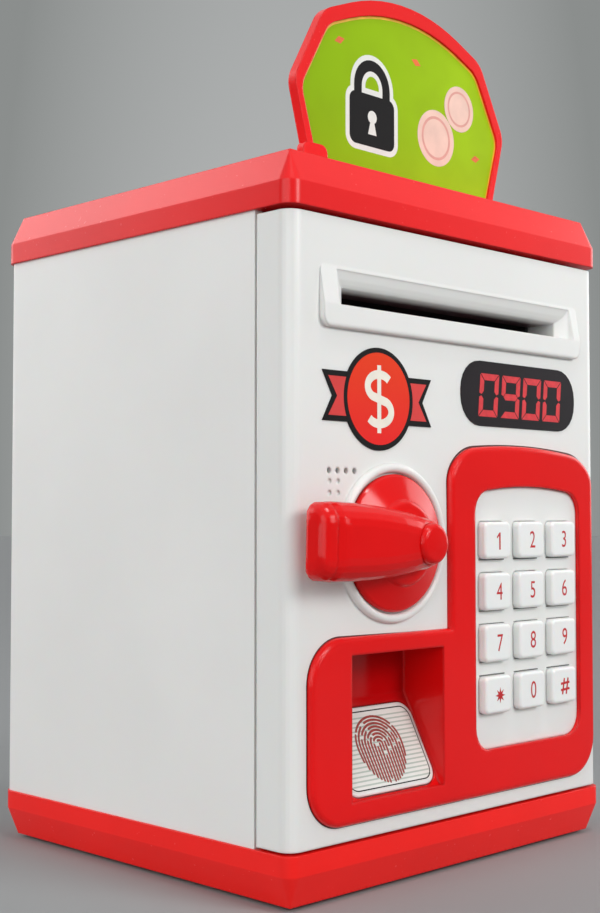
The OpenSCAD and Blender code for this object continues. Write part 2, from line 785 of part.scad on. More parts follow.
// Door seen from above, t inside its outer skin; its rear right edge is round about the hinge
function door_plan(t, back) = concat(
    [for (i = [0:6]) let (a = 180 + 15 * i)
        [door_r - x_side, y_face + door_r] + (door_r - t) * [cos(a), sin(a)]],
    [for (i = [0:6]) let (a = 270 + 15 * i)
        [x_side - door_r, y_face + door_r] + (door_r - t) * [cos(a), sin(a)]],
    [for (i = [0:6]) let (a = 15 * i) [hinge_x, hinge_y] + (hinge_in - t) * [cos(a), sin(a)]],
    [[hinge_x, y_door + back], [t - x_side, y_door + back]]);

// Front door: a shallow pan with the slot duct, handle boss, ring, hinge bosses and screw posts
module door_shell() color(white) difference() {
    union() {
        difference() {
            upright(z_door0, z_door1, door_plan(0, 0));
            upright(z_door0 + skin_t, z_door1 - skin_t, door_plan(skin_t, eps));
        }
        for (z = [z_door0, z_door1 - pin_in_door - 1]) translate([hinge_x, hinge_y, z])
            cylinder(r = pin_r + 1.6, h = pin_in_door + 1);
        slot_duct();
        slot_frame();
        on_face(handle_x, handle_z, -skin_t / 2) rotate_extrude() polygon(handle_ring());
        translate([handle_x, y_skin - eps, axis_z]) rotate([-90, 0, 0])
            cylinder(r = shaft_r + 2.4, h = boss_d - skin_t + eps);
        cover_posts() cylinder(r = door_post_r, h = door_t - plate_back - skin_t / 2);
    }
    slot_cut();
    on_face(0, 0, -skin_t - eps) linear_extrude(skin_t + 3) polygon(keypad_outline(0.15));
    pocket_hole();
    translate([handle_x, y_face - 3, axis_z]) rotate([-90, 0, 0]) cylinder(r = shaft_r + play, h = 14);
    for (z = [z_door0 - eps, z_door1 - pin_in_door]) translate([hinge_x, hinge_y, z])
        cylinder(r = pin_r + play, h = pin_in_door + eps);
    cover_posts() translate([0, 0, 3]) cylinder(r = screw_r, h = door_t, $fn = 24);
    speaker_holes();
}

// Section of the white ring round the handle's disc: a rounded bead
function handle_ring() = let (r = ring_w / 2, h = skin_t / 2 + ring_out - r)
    concat([[ring_r - ring_w, 0]],
        [for (i = [0:8]) [ring_r - r - r * cos(22.5 * i), h + r * sin(22.5 * i)]], [[ring_r, 0]]);

// Places of the back cover's screws, drawn from the door's front skin towards the back
module cover_posts() {
    x0 = door_post_in - x_side;
    z0 = cover_z0 + door_post_r;
    for (p = [[x0, z_door0 + door_post_end], [x0, z_door1 - door_post_end], [x0, axis_z - door_post_low],
            [door_post_near * body_w, z0], [door_post_far * body_w, z0]])
        translate([p.x, y_face + skin_t / 2, p.y]) rotate([-90, 0, 0]) children();
}

// Duct behind the bill slot: it ends at the back cover
module slot_duct() translate([0, 0, z_bill - slot_h / 2 - 1.6]) linear_extrude(slot_h + 4.6)
    polygon(box_outline(slot_x0 - 1.8, slot_x1 + 1.8, y_skin - eps, y_door, 0.4));

// Raised frame round the mouth: proud along its lower lip, flush at its top
module slot_frame() {
    z0 = z_bill - slot_h / 2 - frame_low;
    w = x_side - frame_side;
    intersection() {
        translate([-body_w, 0, 0]) rotate([90, 0, 90]) linear_extrude(2 * body_w)
            polygon([[y_face + 1, z0], [y_face - frame_out + 0.6, z0],
                [y_face - frame_out + 0.15, z0 + 0.25], [y_face - frame_out, z0 + 0.8],
                [y_face - frame_out, z0 + frame_low], [y_face, z0 + frame_h], [y_face + 1, z0 + frame_h]]);
        translate([0, y_face + 1, z0]) rotate([90, 0, 0]) linear_extrude(frame_out + 2)
            polygon(rounded([[-w, 0, 3], [w, 0, 3], [w, frame_h, 2], [-w, frame_h, 2]]));
    }
}

// Mouth and throat of the bill slot: the mouth's upper lip curves inward
module slot_cut() {
    z0 = z_bill - slot_h / 2;
    zt = z0 + slot_h;
    intersection() {
        translate([-body_w, 0, 0]) rotate([90, 0, 90]) linear_extrude(2 * body_w)
            polygon([[y_face - 3, z0], [y_face - 3, z0 + mouth_h + 1.4], [y_face, z0 + mouth_h],
                [y_face + mouth_d * 0.35, zt + 2.5], [y_face + mouth_d * 0.65, zt + 1.4],
                [y_face + mouth_d, zt + 0.6], [y_face + mouth_d + 1.4, zt + 0.15],
                [y_face + mouth_d + 3, zt], [y_door + eps, zt], [y_door + eps, z0]]);
        translate([0, 0, z0 - eps]) linear_extrude(mouth_h + 3)
            polygon([[slot_x0 - mouth_side - 1, y_face - 3], [slot_x1 + mouth_side + 1, y_face - 3],
                [slot_x1 + mouth_side, y_face], [slot_x1, y_face + mouth_d], [slot_x1, y_door + 1],
                [slot_x0, y_door + 1], [slot_x0, y_face + mouth_d], [slot_x0 - mouth_side, y_face]]);
    }
}

// Sound holes over the speaker: four drilled through, four dimples
module speaker_holes() {
    hole = 0.8;
    step = 3.15;
    x0 = speaker_x - 4.6;
    for (i = [0:3]) on_face(x0 + step * i, speaker_z + 0.3, -skin_t - eps)
        cylinder(r = hole, h = skin_t + 2 * eps, $fn = 16);
    for (i = [0:1], z = [-2.4, -5.4]) on_face(x0 + 0.2 + step * i, speaker_z + z, -0.4)
        cylinder(r = 0.8 * hole, h = 1, $fn = 16);
}

function keypad_outline(gap) = arched(pad_x0 - gap, pad_x0 + keypad_w + gap, keypad_z0 - gap,
    keypad_z0 + keypad_h + gap, keypad_r + gap, arch_r);

// Space that the finger pocket takes in the door's front
module pocket_hole() {
    g = pocket_t + 0.2;
    on_face(0, 0, -skin_t - eps) linear_extrude(skin_t + 3)
        polygon(box_outline(pocket_x0 - g, pocket_x0 + pocket_w + g,
            pocket_z0 - g, pocket_z0 + pocket_h + g, 2));
}

// Pocket seen from the side, t outside its inner faces
function pocket_side(t, front) = let (
        z0 = z_body + pocket_z0, z1 = z0 + pocket_h,
        yb = y_face + pocket_d + t, dz = (pocket_d + t) / tan(pad_lean) - t / sin(pad_lean))
    [[front, z0 - t], [front, z1 + t], [yb, z1 - 1.5 + t], [yb, z0 + dz],
        [y_face + t * tan(45 - pad_lean / 2), z0 - t]];

// Red trim: a tall part round the keypad and a low part with the finger pocket
module front_bezel() color(red) difference() {
    union() {
        bezel_part(bezel_x0, bezel_x1, bezel_h, true);
        bezel_part(bezel_low_x0, bezel_x0 + bezel_r + 4, bezel_low_h, false);
        translate([pocket_x0 - pocket_t, 0, 0]) rotate([90, 0, 90])
            linear_extrude(pocket_w + 2 * pocket_t) polygon(pocket_side(pocket_t, y_face - 0.1));
    }
    on_face(0, 0, -eps) linear_extrude(bezel_out + 2 * eps) polygon(keypad_outline(0.05));
    translate([pocket_x0, 0, 0]) rotate([90, 0, 90]) linear_extrude(pocket_w)
        polygon(concat([[y_face - 3, z_body + pocket_z0], [y_face - 3, z_body + pocket_z0 + pocket_h]],
            [for (i = [1:3]) pocket_side(0, y_face)[i]], [[y_face, z_body + pocket_z0]]));
    w = finger_w / 2 + finger_gap;
    l = finger_l / 2 + finger_gap;
    on_slope(0, -6) linear_extrude(6 + eps) polygon(box_outline(-w, w, -l, l, finger_r + finger_gap));
}

// One block of the bezel with soft front edges; the tall one has an arched top
module bezel_part(x0, x1, h, arch) intersection() {
    on_face((x0 + x1) / 2, bezel_z0 + h / 2, 0)
        edged_block(x1 - x0, h, bezel_r, soft_sides(bezel_out, bezel_edge));
    if (arch) on_face((x0 + x1) / 2, bezel_z0 + h - arch_r, -1)
        rotate_extrude($fn = 180) polygon([[0, 0], [arch_r, 0], [arch_r, bezel_out + 1 - bezel_edge],
            for (i = [1:4]) [arch_r - bezel_edge * (1 - cos(22.5 * i)),
                bezel_out + 1 - bezel_edge * (1 - sin(22.5 * i))],
            [0, bezel_out + 1]]);
}

// Puts a drawing on the pocket's sloped floor: its Y runs up the slope, its Z comes outward
module on_slope(s = 0, out = 0)
    translate([pocket_x0 + pocket_w / 2, slope_y(finger_s + s), slope_z(finger_s + s)])
        rotate([90 - pad_lean, 0, 0]) translate([0, 0, out]) children();

module fingerprint_pad() color(white) {
    on_slope(0, -finger_back)
        edged_block(finger_w, finger_l, finger_r, soft_sides(finger_back + finger_out, 0.4, 3));
    on_slope(0, -flange_in) linear_extrude(finger_flange + 0.2)
        polygon(box_outline(-finger_w / 2 - 1, finger_w / 2 + 1,
            -finger_l / 2 - finger_lip_low, finger_l / 2 + finger_lip_high, 1));
}

module fingerprint_label() color([0.93, 0.93, 0.92])
    on_slope(0, finger_out) linear_extrude(label_t / 2)
        polygon(box_outline(1 - finger_w / 2, finger_w / 2 - 1,
            1 - finger_l / 2, finger_l / 2 - 1, finger_r - 1));

module pad_switch() color(black) {
    down = -flange_in - 0.1 - finger_travel;
    on_slope(2, down - dome_h - switch_h) translate([-switch_w / 2, -switch_w / 2, 0])
        cube([switch_w, switch_w, switch_h]);
    on_slope(2, down - dome_h - 0.1) cylinder(r = dome_r, h = dome_h, $fn = 24);
}

// Plate that the keys come through, with a flange behind the door's front
module keypad_plate() color(white) difference() {
    union() {
        on_face(0, 0, -skin_t) linear_extrude(skin_t + keypad_out) polygon(keypad_outline(0));
        on_face(0, 0, -skin_t - 1.2) linear_extrude(1.2) polygon(keypad_outline(1.6));
    }
    for (c = [0:2], r = [0:3]) on_face(key_x0 + c * key_pitch_x, key_z0 + r * key_pitch_z, -skin_t - 2)
        linear_extrude(skin_t + 4) polygon(box_outline(-key_w / 2 - key_play, key_w / 2 + key_play,
            -key_h / 2 - key_play, key_h / 2 + key_play, key_r));
}

// Keys count from the top left, row by row; each has a flange that holds it in the plate
module key(i) color(white)
    on_face(key_x0 + (i % 3) * key_pitch_x, key_z0 + (3 - floor(i / 3)) * key_pitch_z, 0) {
        translate([0, 0, -key_back]) edged_block(key_w, key_h, key_r,
            soft_sides(key_back + keypad_out + key_out, key_edge, 4));
        translate([0, 0, -key_back - flange_t]) linear_extrude(flange_t)
            polygon(box_outline(-key_w / 2 - flange_side, key_w / 2 + flange_side,
                -key_h / 2 - flange_side, key_h / 2 + flange_side, 1));
    }

// Rubber sheet whose domes the keys press
module keypad_membrane() color([0.55, 0.57, 0.6]) {
    on_face(0, 0, -membrane_y - sheet_t) linear_extrude(sheet_t)
        polygon(box_outline(pad_x0 + 1, pad_x0 + keypad_w - 1,
            keypad_z0 + sheet_in, keypad_z0 + keypad_h - 2 * sheet_in, 3));
    for (c = [0:2], r = [0:3]) on_face(key_x0 + c * key_pitch_x, key_z0 + r * key_pitch_z, -membrane_y)
        rotate_extrude($fn = 24)
            polygon([[0, 0], [rubber_r, 0], [0.65 * rubber_r, rubber_h], [0, rubber_h]]);
}

module circuit_board() color([0.1, 0.42, 0.2])
    on_face(0, 0, -membrane_y - sheet_t - board_t) linear_extrude(board_t)
        polygon(box_outline(pad_x0, pad_x0 + keypad_w - 1,
            keypad_z0 - 2, keypad_z0 + keypad_h - 2, 1));

// Print of the badge: a disc on a ribbon with notched ends
module emblem_label() color(black) on_face(badge_x, (badge_top + badge_foot) / 2, 0)
    linear_extrude(label_t) {
        w = ribbon_w / 2;
        h = ribbon_part * badge_r / 2;
        circle(r = badge_r);
        polygon([[-w, -h], [w, -h], [w - ribbon_notch, 0], [w, h], [-w, h], [ribbon_notch - w, 0]]);
    }

module display_label() color([0.17, 0.17, 0.16])
    on_face(0, body_h - strip_drop, 0) linear_extrude(label_t)
        polygon(box_outline(bezel_x0 + strip_left, x_side - strip_right,
            -strip_h / 2, strip_h / 2, strip_h / 2 - 0.8));

// Housing on the back of the door: it holds the bill feed, the lock and the battery box
module back_cover() color(white) difference() {
    union() {
        difference() {
            union() {
                block(cover_x0, hinge_x - 0.2, y_door - plate_back, y_door, cover_z0, cover_z1);
                block(house_x0, house_x1, y_door - eps, y_house, z_body + house_z0, z_lid - house_z1);
            }
            block(house_x0 + house_t, house_x1 - house_t, y_door - plate_back - eps,
                y_house - house_t, z_body + house_z0 + house_t, z_lid - house_z1 - house_t);
        }
        block(bay_x0 - bay_wall, house_x1 - house_t / 2, bay_y - bay_wall, y_house - house_t / 2,
            bay_z0 - bay_wall, bay_z1 + bay_wall);
    }
    block(bay_x0, bay_x1, bay_y, y_house + eps, bay_z0, bay_z1);
    battery_lid(0.2, eps);
    block(slot_x0 + 1, frame_x1 - 1.5, y_house - house_t - eps, y_house + eps,
        z_bill - exit_h / 2, z_bill + exit_h / 2);
    translate([bay_mid, y_house + eps, bay_screw_z]) rotate([90, 0, 0])
        cylinder(r = bay_screw_r, h = house_t + 2 * eps, $fn = 24);
    block(house_x0 - eps, house_x0 + house_t + eps, tongue_y - slit_play, tongue_y + tongue_t + slit_play,
        axis_z - tongue_l + 3, axis_z + tongue_w / 2 + 2);
    translate([0, -plate_back - eps, 0]) cover_posts_rear() cylinder(r = screw_r, h = 4, $fn = 24);
}

module cover_posts_rear() translate([0, door_t - skin_t / 2, 0]) cover_posts() children();

module cover_screws() color(steel) {
    cover_posts_rear() rotate([180, 0, 0]) screw(screw_r, 6);
    translate([bay_mid, y_house, bay_screw_z]) rotate([90, 0, 0]) screw(bay_screw_r, house_t - 0.2);
}

// Battery cover, let into the housing's back, with a screw tab at its top
module battery_lid(gap, extra) {
    translate([0, y_house + extra, 0]) rotate([90, 0, 0]) linear_extrude(house_t / 2 + 0.2 + extra)
        polygon(box_outline(bay_x0 - 1.4 - gap, bay_x1 - 0.3 + gap,
            bay_z0 - 1.2 - gap, bay_screw_z + 3 + gap, 2));
}
module battery_cover() color(white) difference() {
    battery_lid(0, 0);
    translate([bay_mid, y_house + eps, bay_screw_z]) rotate([90, 0, 0])
        cylinder(r = bay_screw_r, h = 4, $fn = 24);
    for (i = [0:4]) block(bay_mid - 8, bay_mid + 8, y_house - 0.4, y_house + eps,
        bay_z0 + 4 + 2.4 * i, bay_z0 + 5 + 2.4 * i);
}

module battery_cells() color([0.2, 0.35, 0.3])
    for (i = [0:2]) along_x(bay_x0 + spring_l, bay_y + cell_r + cell_play, cell_z(i)) {
        cylinder(r = cell_r, h = cell_l - nub_l, $fn = 48);
        cylinder(r = nub_r, h = cell_l, $fn = 24);
    }

module battery_contacts() color(steel)
    for (i = [0:2]) {
        y = bay_y + cell_r + cell_play;
        w = contact_w / 2;
        block(bay_x1 - contact_t, bay_x1, y - w, y + w, cell_z(i) - w, cell_z(i) + w);
        along_x(bay_x0, y, cell_z(i)) rotate_extrude($fn = 24)
            polygon([[0, 0], [4.5, 0], [4.5, 0.6], [2.5, spring_l], [0, spring_l]]);
    }

module speaker() color(black) translate([speaker_x, y_skin, z_body + speaker_z]) rotate([-90, 0, 0])
    rotate_extrude() polygon([[0, 0], [speaker_r, 0], [speaker_r, speaker_rim],
        [magnet_r, speaker_h - magnet_h], [magnet_r, speaker_h], [0, speaker_h]]);

// Side plates and bill guides that carry the rollers and the motor
module roller_frame() color([0.2, 0.2, 0.22]) difference() {
    union() {
        for (x = [frame_x0, frame_x1 - plate_t])
            block(x, x + plate_t, y_door, y_house - house_t - 1, idler_z - plate_low, drive_z + plate_high);
        block(frame_x1 - plate_t, frame_x1, y_door, motor_y + motor_r, motor_z - motor_r, idler_z);
        for (y = [[y_door, roller_y - drive_r - guide_gap],
                    [roller_y + drive_r + guide_gap, y_house - house_t - 1]],
                z = [z_bill - slot_h / 2 - guide_t, z_bill + slot_h / 2])
            block(frame_x0, frame_x1, y[0], y[1], z, z + guide_t);
    }
    for (z = [drive_z, idler_z]) along_x(frame_x0 - eps, roller_y, z)
        cylinder(r = axle_r + play, h = frame_x1 - frame_x0 + 2 * eps, $fn = 48);
    along_x(frame_x1 - plate_t - eps, motor_y, motor_z)
        cylinder(r = bush_r, h = plate_t + 2 * eps, $fn = 48);
    along_x(frame_x1 - plate_t - eps, double_y, double_z)
        cylinder(r = axle_r, h = plate_t + 2 * eps, $fn = 48);
}

// Flat-sided motor can with its front bush
module feed_motor() color(steel) difference() {
    union() {
        along_x(frame_x1 - plate_t - motor_l, motor_y, motor_z) intersection() {
            cylinder(r = motor_r, h = motor_l);
            translate([-motor_r * motor_flat, -motor_r, 0])
                cube([2 * motor_r * motor_flat, 2 * motor_r, motor_l]);
        }
        along_x(frame_x1 - plate_t, motor_y, motor_z) cylinder(r = bush_r, h = plate_t, $fn = 48);
    }
    along_x(frame_x1 - plate_t - motor_shaft_in - eps, motor_y, motor_z)
        cylinder(r = motor_shaft_r + play, h = 20, $fn = 32);
}

module motor_shaft() color(steel)
    along_x(frame_x1 - plate_t - motor_shaft_in, motor_y, motor_z)
        cylinder(r = motor_shaft_r, h = gear_x2 + gear_t - frame_x1 + plate_t + motor_shaft_in, $fn = 32);

module gear_pin() color(steel) along_x(frame_x1 - plate_t, double_y, double_z)
    cylinder(r = axle_r, h = gear_x2 + gear_t + 0.6 - frame_x1 + plate_t, $fn = 48);

// Involute gear outline. A tooth's half angle shrinks with the involute from pitch to tip
pressure = 20;
tooth_tip = 0.9;
tooth_root = 1.25;
function involute(rb, r) = let (a = acos(min(1, rb / r))) tan(a) * 180 / PI - a;
function gear_outline(z, phase, n = 3) =
    let (rp = gear_m * z / 2, rb = rp * cos(pressure), ra = rp + tooth_tip * gear_m,
        rf = rp - tooth_root * gear_m,
        half = 90 / z - gear_thin / 2 / rp * 180 / PI + involute(rb, rp), r0 = max(rb, rf),
        side = concat([[rf, half]],
            [for (k = [0:n]) let (r = r0 + (ra - r0) * k / n) [r, half - involute(rb, r)]]))
    [for (i = [0:z - 1]) let (c = phase + 360 * i / z) each concat(
        [for (p = side) p.x * [cos(c - p.y), sin(c - p.y)]],
        [for (k = [len(side) - 1:-1:0]) side[k].x * [cos(c + side[k].y), sin(c + side[k].y)]])];

module gear(z, phase, t, bore) difference() {
    linear_extrude(t) polygon(gear_outline(z, phase));
    translate([0, 0, -eps]) cylinder(r = bore, h = t + 2 * eps, $fn = 48);
}

module roller_gear() color([0.92, 0.9, 0.82])
    along_x(gear_x, roller_y, drive_z) gear(teeth_roller, aim_roller, gear_t, axle_r);

module double_gear() color([0.92, 0.9, 0.82]) {
    along_x(gear_x, double_y, double_z) {
        gear(teeth_small, aim_roller + 180 + 180 / teeth_small, gear_t, axle_r + play);
        translate([0, 0, gear_t]) tube(teeth_small * gear_m / 2 - 0.8, axle_r + play, 0.6, $fn = 48);
    }
    along_x(gear_x2, double_y, double_z) gear(teeth_large, aim_motor, gear_t, axle_r + play);
}

module motor_pinion() color([0.85, 0.7, 0.35])
    along_x(gear_x2, motor_y, motor_z) gear(teeth_small, aim_motor + 180 + 180 / teeth_small,
        gear_t, motor_shaft_r);

module drive_axle() color(steel) along_x(frame_x0 - axle_end, roller_y, drive_z)
    cylinder(r = axle_r, h = gear_x + gear_t + 0.2 - frame_x0 + axle_end, $fn = 48);

module idler_axle() color(steel) along_x(frame_x0 - axle_end, roller_y, idler_z)
    cylinder(r = axle_r, h = frame_x1 + axle_end / 2 - frame_x0 + axle_end, $fn = 48);

module tyres(r, z) for (i = [-1:1])
    along_x(slot_x + i * slot_w / 3 - tyre_l / 2, roller_y, z) difference() {
        rotate_extrude($fn = 48) polygon([[0, 0], [r - tyre_edge, 0], [r, tyre_edge],
            [r, tyre_l - tyre_edge], [r - tyre_edge, tyre_l], [0, tyre_l]]);
        translate([0, 0, -eps]) cylinder(r = axle_r, h = tyre_l + 2 * eps, $fn = 48);
    }
module drive_tyres() color([0.35, 0.12, 0.14]) tyres(drive_r, drive_z);
module idler_tyres() color([0.35, 0.12, 0.14]) tyres(idler_r, idler_z);

// Lock coil in its frame, to the right of the handle's shaft
module solenoid_frame() color(steel) difference() {
    union() {
        for (x = [coil_x0, coil_x1 - coil_plate])
            block(x, x + coil_plate, y_skin + yoke_t / 2, cam_mid + coil_r + 0.2,
                axis_z - coil_side, axis_z + coil_side);
        block(coil_x0, coil_x1, y_skin, y_skin + yoke_t, axis_z - coil_side, axis_z + coil_side);
    }
    along_x(coil_x0 - eps, cam_mid, axis_z) cylinder(r = plunger_r + play, h = coil_l + 4, $fn = 48);
}
module solenoid_coil() color([0.6, 0.3, 0.12])
    along_x(coil_x0 + coil_plate, cam_mid, axis_z) tube(coil_r, plunger_r + play, coil_l, $fn = 48);

module lock_plunger() color(steel) {
    along_x(plunger_tip, cam_mid, axis_z) cylinder(r = plunger_r, h = plunger_tail - plunger_tip, $fn = 48);
    along_x(plunger_tail, cam_mid, axis_z) cylinder(r = plunger_head_r, h = plunger_head_t, $fn = 48);
}

// Turning handle. All of it is drawn outward from the door, round the handle's axis
module disc_solid() {
    r = ring_r - ring_w - disc_gap;
    rotate_extrude() polygon([[0, 0.4], [r, 0.4], [r, 1.2], [r - 0.5, 1.9], [r * 0.66, disc_h - 2],
        [r * 0.63, disc_h - 1.8], [r * 0.6, disc_h - 0.9], [r * 0.56, disc_h - 0.5],
        [r * 0.36, disc_h - 0.3], [r * 0.34, disc_h], [0, disc_h]]);
}

module handle_disc() color(red) on_face(handle_x, handle_z, 0) difference() {
    disc_solid();
    cylinder(r = shaft_r, h = disc_h + eps);
}

// Skin stretched over a row of point rings, with flat ends
module loft(rings) {
    n = len(rings[0]);
    last = (len(rings) - 1) * n;
    polyhedron([for (r = rings) each r], concat([[for (i = [0:n - 1]) i]],
        [for (k = [0:n:last - n], i = [0:n - 1]) let (j = (i + 1) % n)
            each [[k + i, k + n + i, k + n + j], [k + i, k + n + j, k + j]]],
        [[for (i = [n - 1:-1:0]) last + i]]));
}

// Lever in sections along its length: each is [x, half height, front, back, front radius].
// The grip ends in a soft block, then the body bulges past a crease and narrows to the hub
module lever_solid() {
    g = lever_grip_h / 2;
    k = lever_hub_h / 2;
    f = lever_out;
    b = lever_in;
    end = -lever_l;
    body = end + 7.6;
    taper = function (x) g - (g - k) * pow((x - body) / -body, 2.2);
    rows = concat(
        [[end, g - 4.6, f - 4.8, b + 1.8, 2.4], [end + 0.3, g - 2.9, f - 3.8, b + 1.2, 3.2],
            [end + 0.9, g - 1.8, f - 3, b + 0.6, 4], [end + 1.9, g - 0.9, f - 2.4, b + 0.2, 4.6],
            [end + 3.1, g - 0.3, f - 2.1, b, 5], [end + 4, g - 0.2, f - 2, b, 5],
            [end + 4.6, g - 0.45, f - 2.4, b, 5], [end + 5.3, g - 0.3, f - 2, b, 5.2],
            [end + 6.3, g - 0.05, f - 1.4, b, 5.6]],
        [for (i = [0:6]) let (x = body * (1 - i / 6))
            [x, taper(x), f - 1.1 * pow(1 - i / 6, 2) - 0.2 * pow(i / 6, 2), b, 6]],
        [[2.5, k * 0.96, f - 0.5, b, k * 0.8], [5, k * 0.83, f - 0.9, b, k * 0.7],
            [6.8, k * 0.64, f - 1.6, b, k * 0.58], [8, k * 0.42, f - 2.8, b + 0.3, k * 0.38],
            [8.7, k * 0.2, f - 4.6, b + 1, k * 0.16]]);
    loft([for (r = rows) [for (p = rounded([[-r.y, r[3], 1.2], [r.y, r[3], 1.2], [r.y, r.z, r[4]],
        [-r.y, r.z, r[4]]], 5)) [r.x, p.x, p.y]]]);
}

module handle_lever() color(red) on_face(handle_x, handle_z, 0) difference() {
    rotate(-lever_tilt) lever_solid();
    disc_solid();
    cylinder(r = shaft_r, h = lever_out - 4);
    translate([0, 0, lever_out - 3]) cylinder(r = cap_r, h = 4);
}

module handle_cap() color(red) on_face(handle_x, handle_z, lever_out) rotate_extrude()
    polygon(concat([[0, -3], [cap_r, -3], [cap_r, cap_out - 1.7]],
        [for (i = [1:5]) [cap_r - 1.5 * (1 - cos(18 * i)), cap_out - 1.7 + 1.5 * sin(18 * i)]],
        [[cap_r / 3, cap_out - 0.05], [0, cap_out]]));

module handle_shaft() color(steel)
    translate([handle_x, y_face - lever_out + 4, axis_z]) rotate([-90, 0, 0]) difference() {
        l = lever_out - 4 - y_face + tongue_y + tongue_t;
        cylinder(r = shaft_r, h = l);
        translate([0, 0, l - 6.2]) cylinder(r = screw_r, h = 6.2 + eps, $fn = 24);
    }

// Hub with the notched disc
module latch_cam() color([0.85, 0.85, 0.83]) {
    y0 = y_face + boss_d + 0.3;
    difference() {
        union() {
            translate([handle_x, y0, axis_z]) rotate([-90, 0, 0]) cylinder(r = hub_r, h = tongue_y - y0);
            translate([handle_x, cam_y, axis_z]) rotate([-90, 0, 0]) cylinder(r = cam_r, h = cam_t);
        }
        translate([handle_x, y0 - eps, axis_z]) rotate([-90, 0, 0]) cylinder(r = shaft_r, h = 20);
        for (a = [0, 90]) translate([handle_x, cam_mid, axis_z]) rotate([0, -a, 0])
            translate([cam_r - notch_d, -cam_t, -notch_w / 2]) cube([notch_d + 2, 2 * cam_t, notch_w]);
    }
}

// Latch tongue on the end of the shaft; at rest it points down
module latch_tongue() color(steel)
    translate([handle_x, tongue_y, axis_z]) rotate([90, 0, 0]) mirror([0, 0, 1]) linear_extrude(tongue_t)
        difference() {
            union() {
                circle(r = hub_r);
                polygon(rounded([[-tongue_w / 2, 0, 0], [-tongue_w / 2, -tongue_l, 2],
                    [tongue_w / 2, -tongue_l, 2], [tongue_w / 2, 0, 0]], 4));
            }
            circle(r = shaft_r);
        }

module shaft_screw() color(steel) translate([handle_x, tongue_y + tongue_t, axis_z]) rotate([90, 0, 0])
    screw(screw_r, 6);

base();
body_shell();
top_cover();
sign_board();
sign_label();
feet();
base_screws();
lid_screws();
lock_catch();
hinge_pins();
door_shell();
front_bezel();
keypad_plate();
keypad_membrane();
circuit_board();
emblem_label();
display_label();
pad_switch();
fingerprint_pad();
fingerprint_label();
back_cover();
cover_screws();
battery_cover();
battery_cells();
battery_contacts();
speaker();
roller_frame();
feed_motor();
gear_pin();
solenoid_frame();
solenoid_coil();
lock_plunger();
handle_disc();
handle_lever();
handle_cap();
handle_shaft();
latch_cam();
latch_tongue();
shaft_screw();
drive_axle();
drive_tyres();
roller_gear();
idler_axle();
idler_tyres();
double_gear();
motor_shaft();
motor_pinion();
key(0);  // key_1
key(1);  // key_2
key(2);  // key_3
key(3);  // key_4
key(4);  // key_5
key(5);  // key_6
key(6);  // key_7
key(7);  // key_8
key(8);  // key_9
key(9);  // key_star
key(10);  // key_0
key(11);  // key_hash
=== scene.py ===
import json
import math

import bmesh
import bpy
from mathutils import Matrix, Vector


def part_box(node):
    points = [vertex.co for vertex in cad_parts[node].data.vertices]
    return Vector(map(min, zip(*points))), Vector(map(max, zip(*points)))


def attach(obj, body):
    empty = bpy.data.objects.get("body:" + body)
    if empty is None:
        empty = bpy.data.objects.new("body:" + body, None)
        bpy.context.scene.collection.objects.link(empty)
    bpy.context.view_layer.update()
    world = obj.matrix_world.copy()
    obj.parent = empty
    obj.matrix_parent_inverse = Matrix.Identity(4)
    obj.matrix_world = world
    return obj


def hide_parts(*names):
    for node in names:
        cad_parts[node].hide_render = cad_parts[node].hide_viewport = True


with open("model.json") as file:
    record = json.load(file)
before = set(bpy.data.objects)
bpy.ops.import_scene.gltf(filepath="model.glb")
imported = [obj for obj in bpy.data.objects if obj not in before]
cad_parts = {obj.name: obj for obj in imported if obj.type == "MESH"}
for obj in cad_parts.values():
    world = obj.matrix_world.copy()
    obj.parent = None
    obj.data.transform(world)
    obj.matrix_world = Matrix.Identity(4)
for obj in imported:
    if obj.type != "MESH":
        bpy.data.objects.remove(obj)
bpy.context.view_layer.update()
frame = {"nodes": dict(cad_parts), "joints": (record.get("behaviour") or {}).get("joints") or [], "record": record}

MM = 0.001
NODES = frame["nodes"]


# Places taken from the frame, in metres

def low(node):
    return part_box(node)[0]


def high(node):
    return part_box(node)[1]


def middle(node):
    return (low(node) + high(node)) / 2


FACE_Y = high("emblem_label").y
LEFT_X = low("body_shell").x
BODY_Z = low("body_shell").z
PRESS = next(j for j in frame["joints"] if j["name"] == "finger_press")
PAD_OUT = -Vector(PRESS["axis"])


# Colours are written as they look in a picture, 0 to 255

def colour(r, g, b):
    def linear(v):
        v = v / 255
        return v / 12.92 if v <= 0.04045 else ((v + 0.055) / 1.055) ** 2.4
    return (linear(r), linear(g), linear(b), 1.0)


def shade(rgb, factor):
    return tuple(min(255, c * factor) for c in rgb)


# Materials

COAT_ROUGH, LEAST_ROUGH = 0.08, 0.02
SCATTER_DEPTH, GRAIN_DEPTH = 1.5 * MM, 0.02 * MM
TONE_STOPS = (0.3, 0.7)
MIX_AMOUNT, MIX_FIRST, MIX_SECOND, MIX_RESULT = 0, 6, 7, 2  # sockets of a mix node that mixes colours


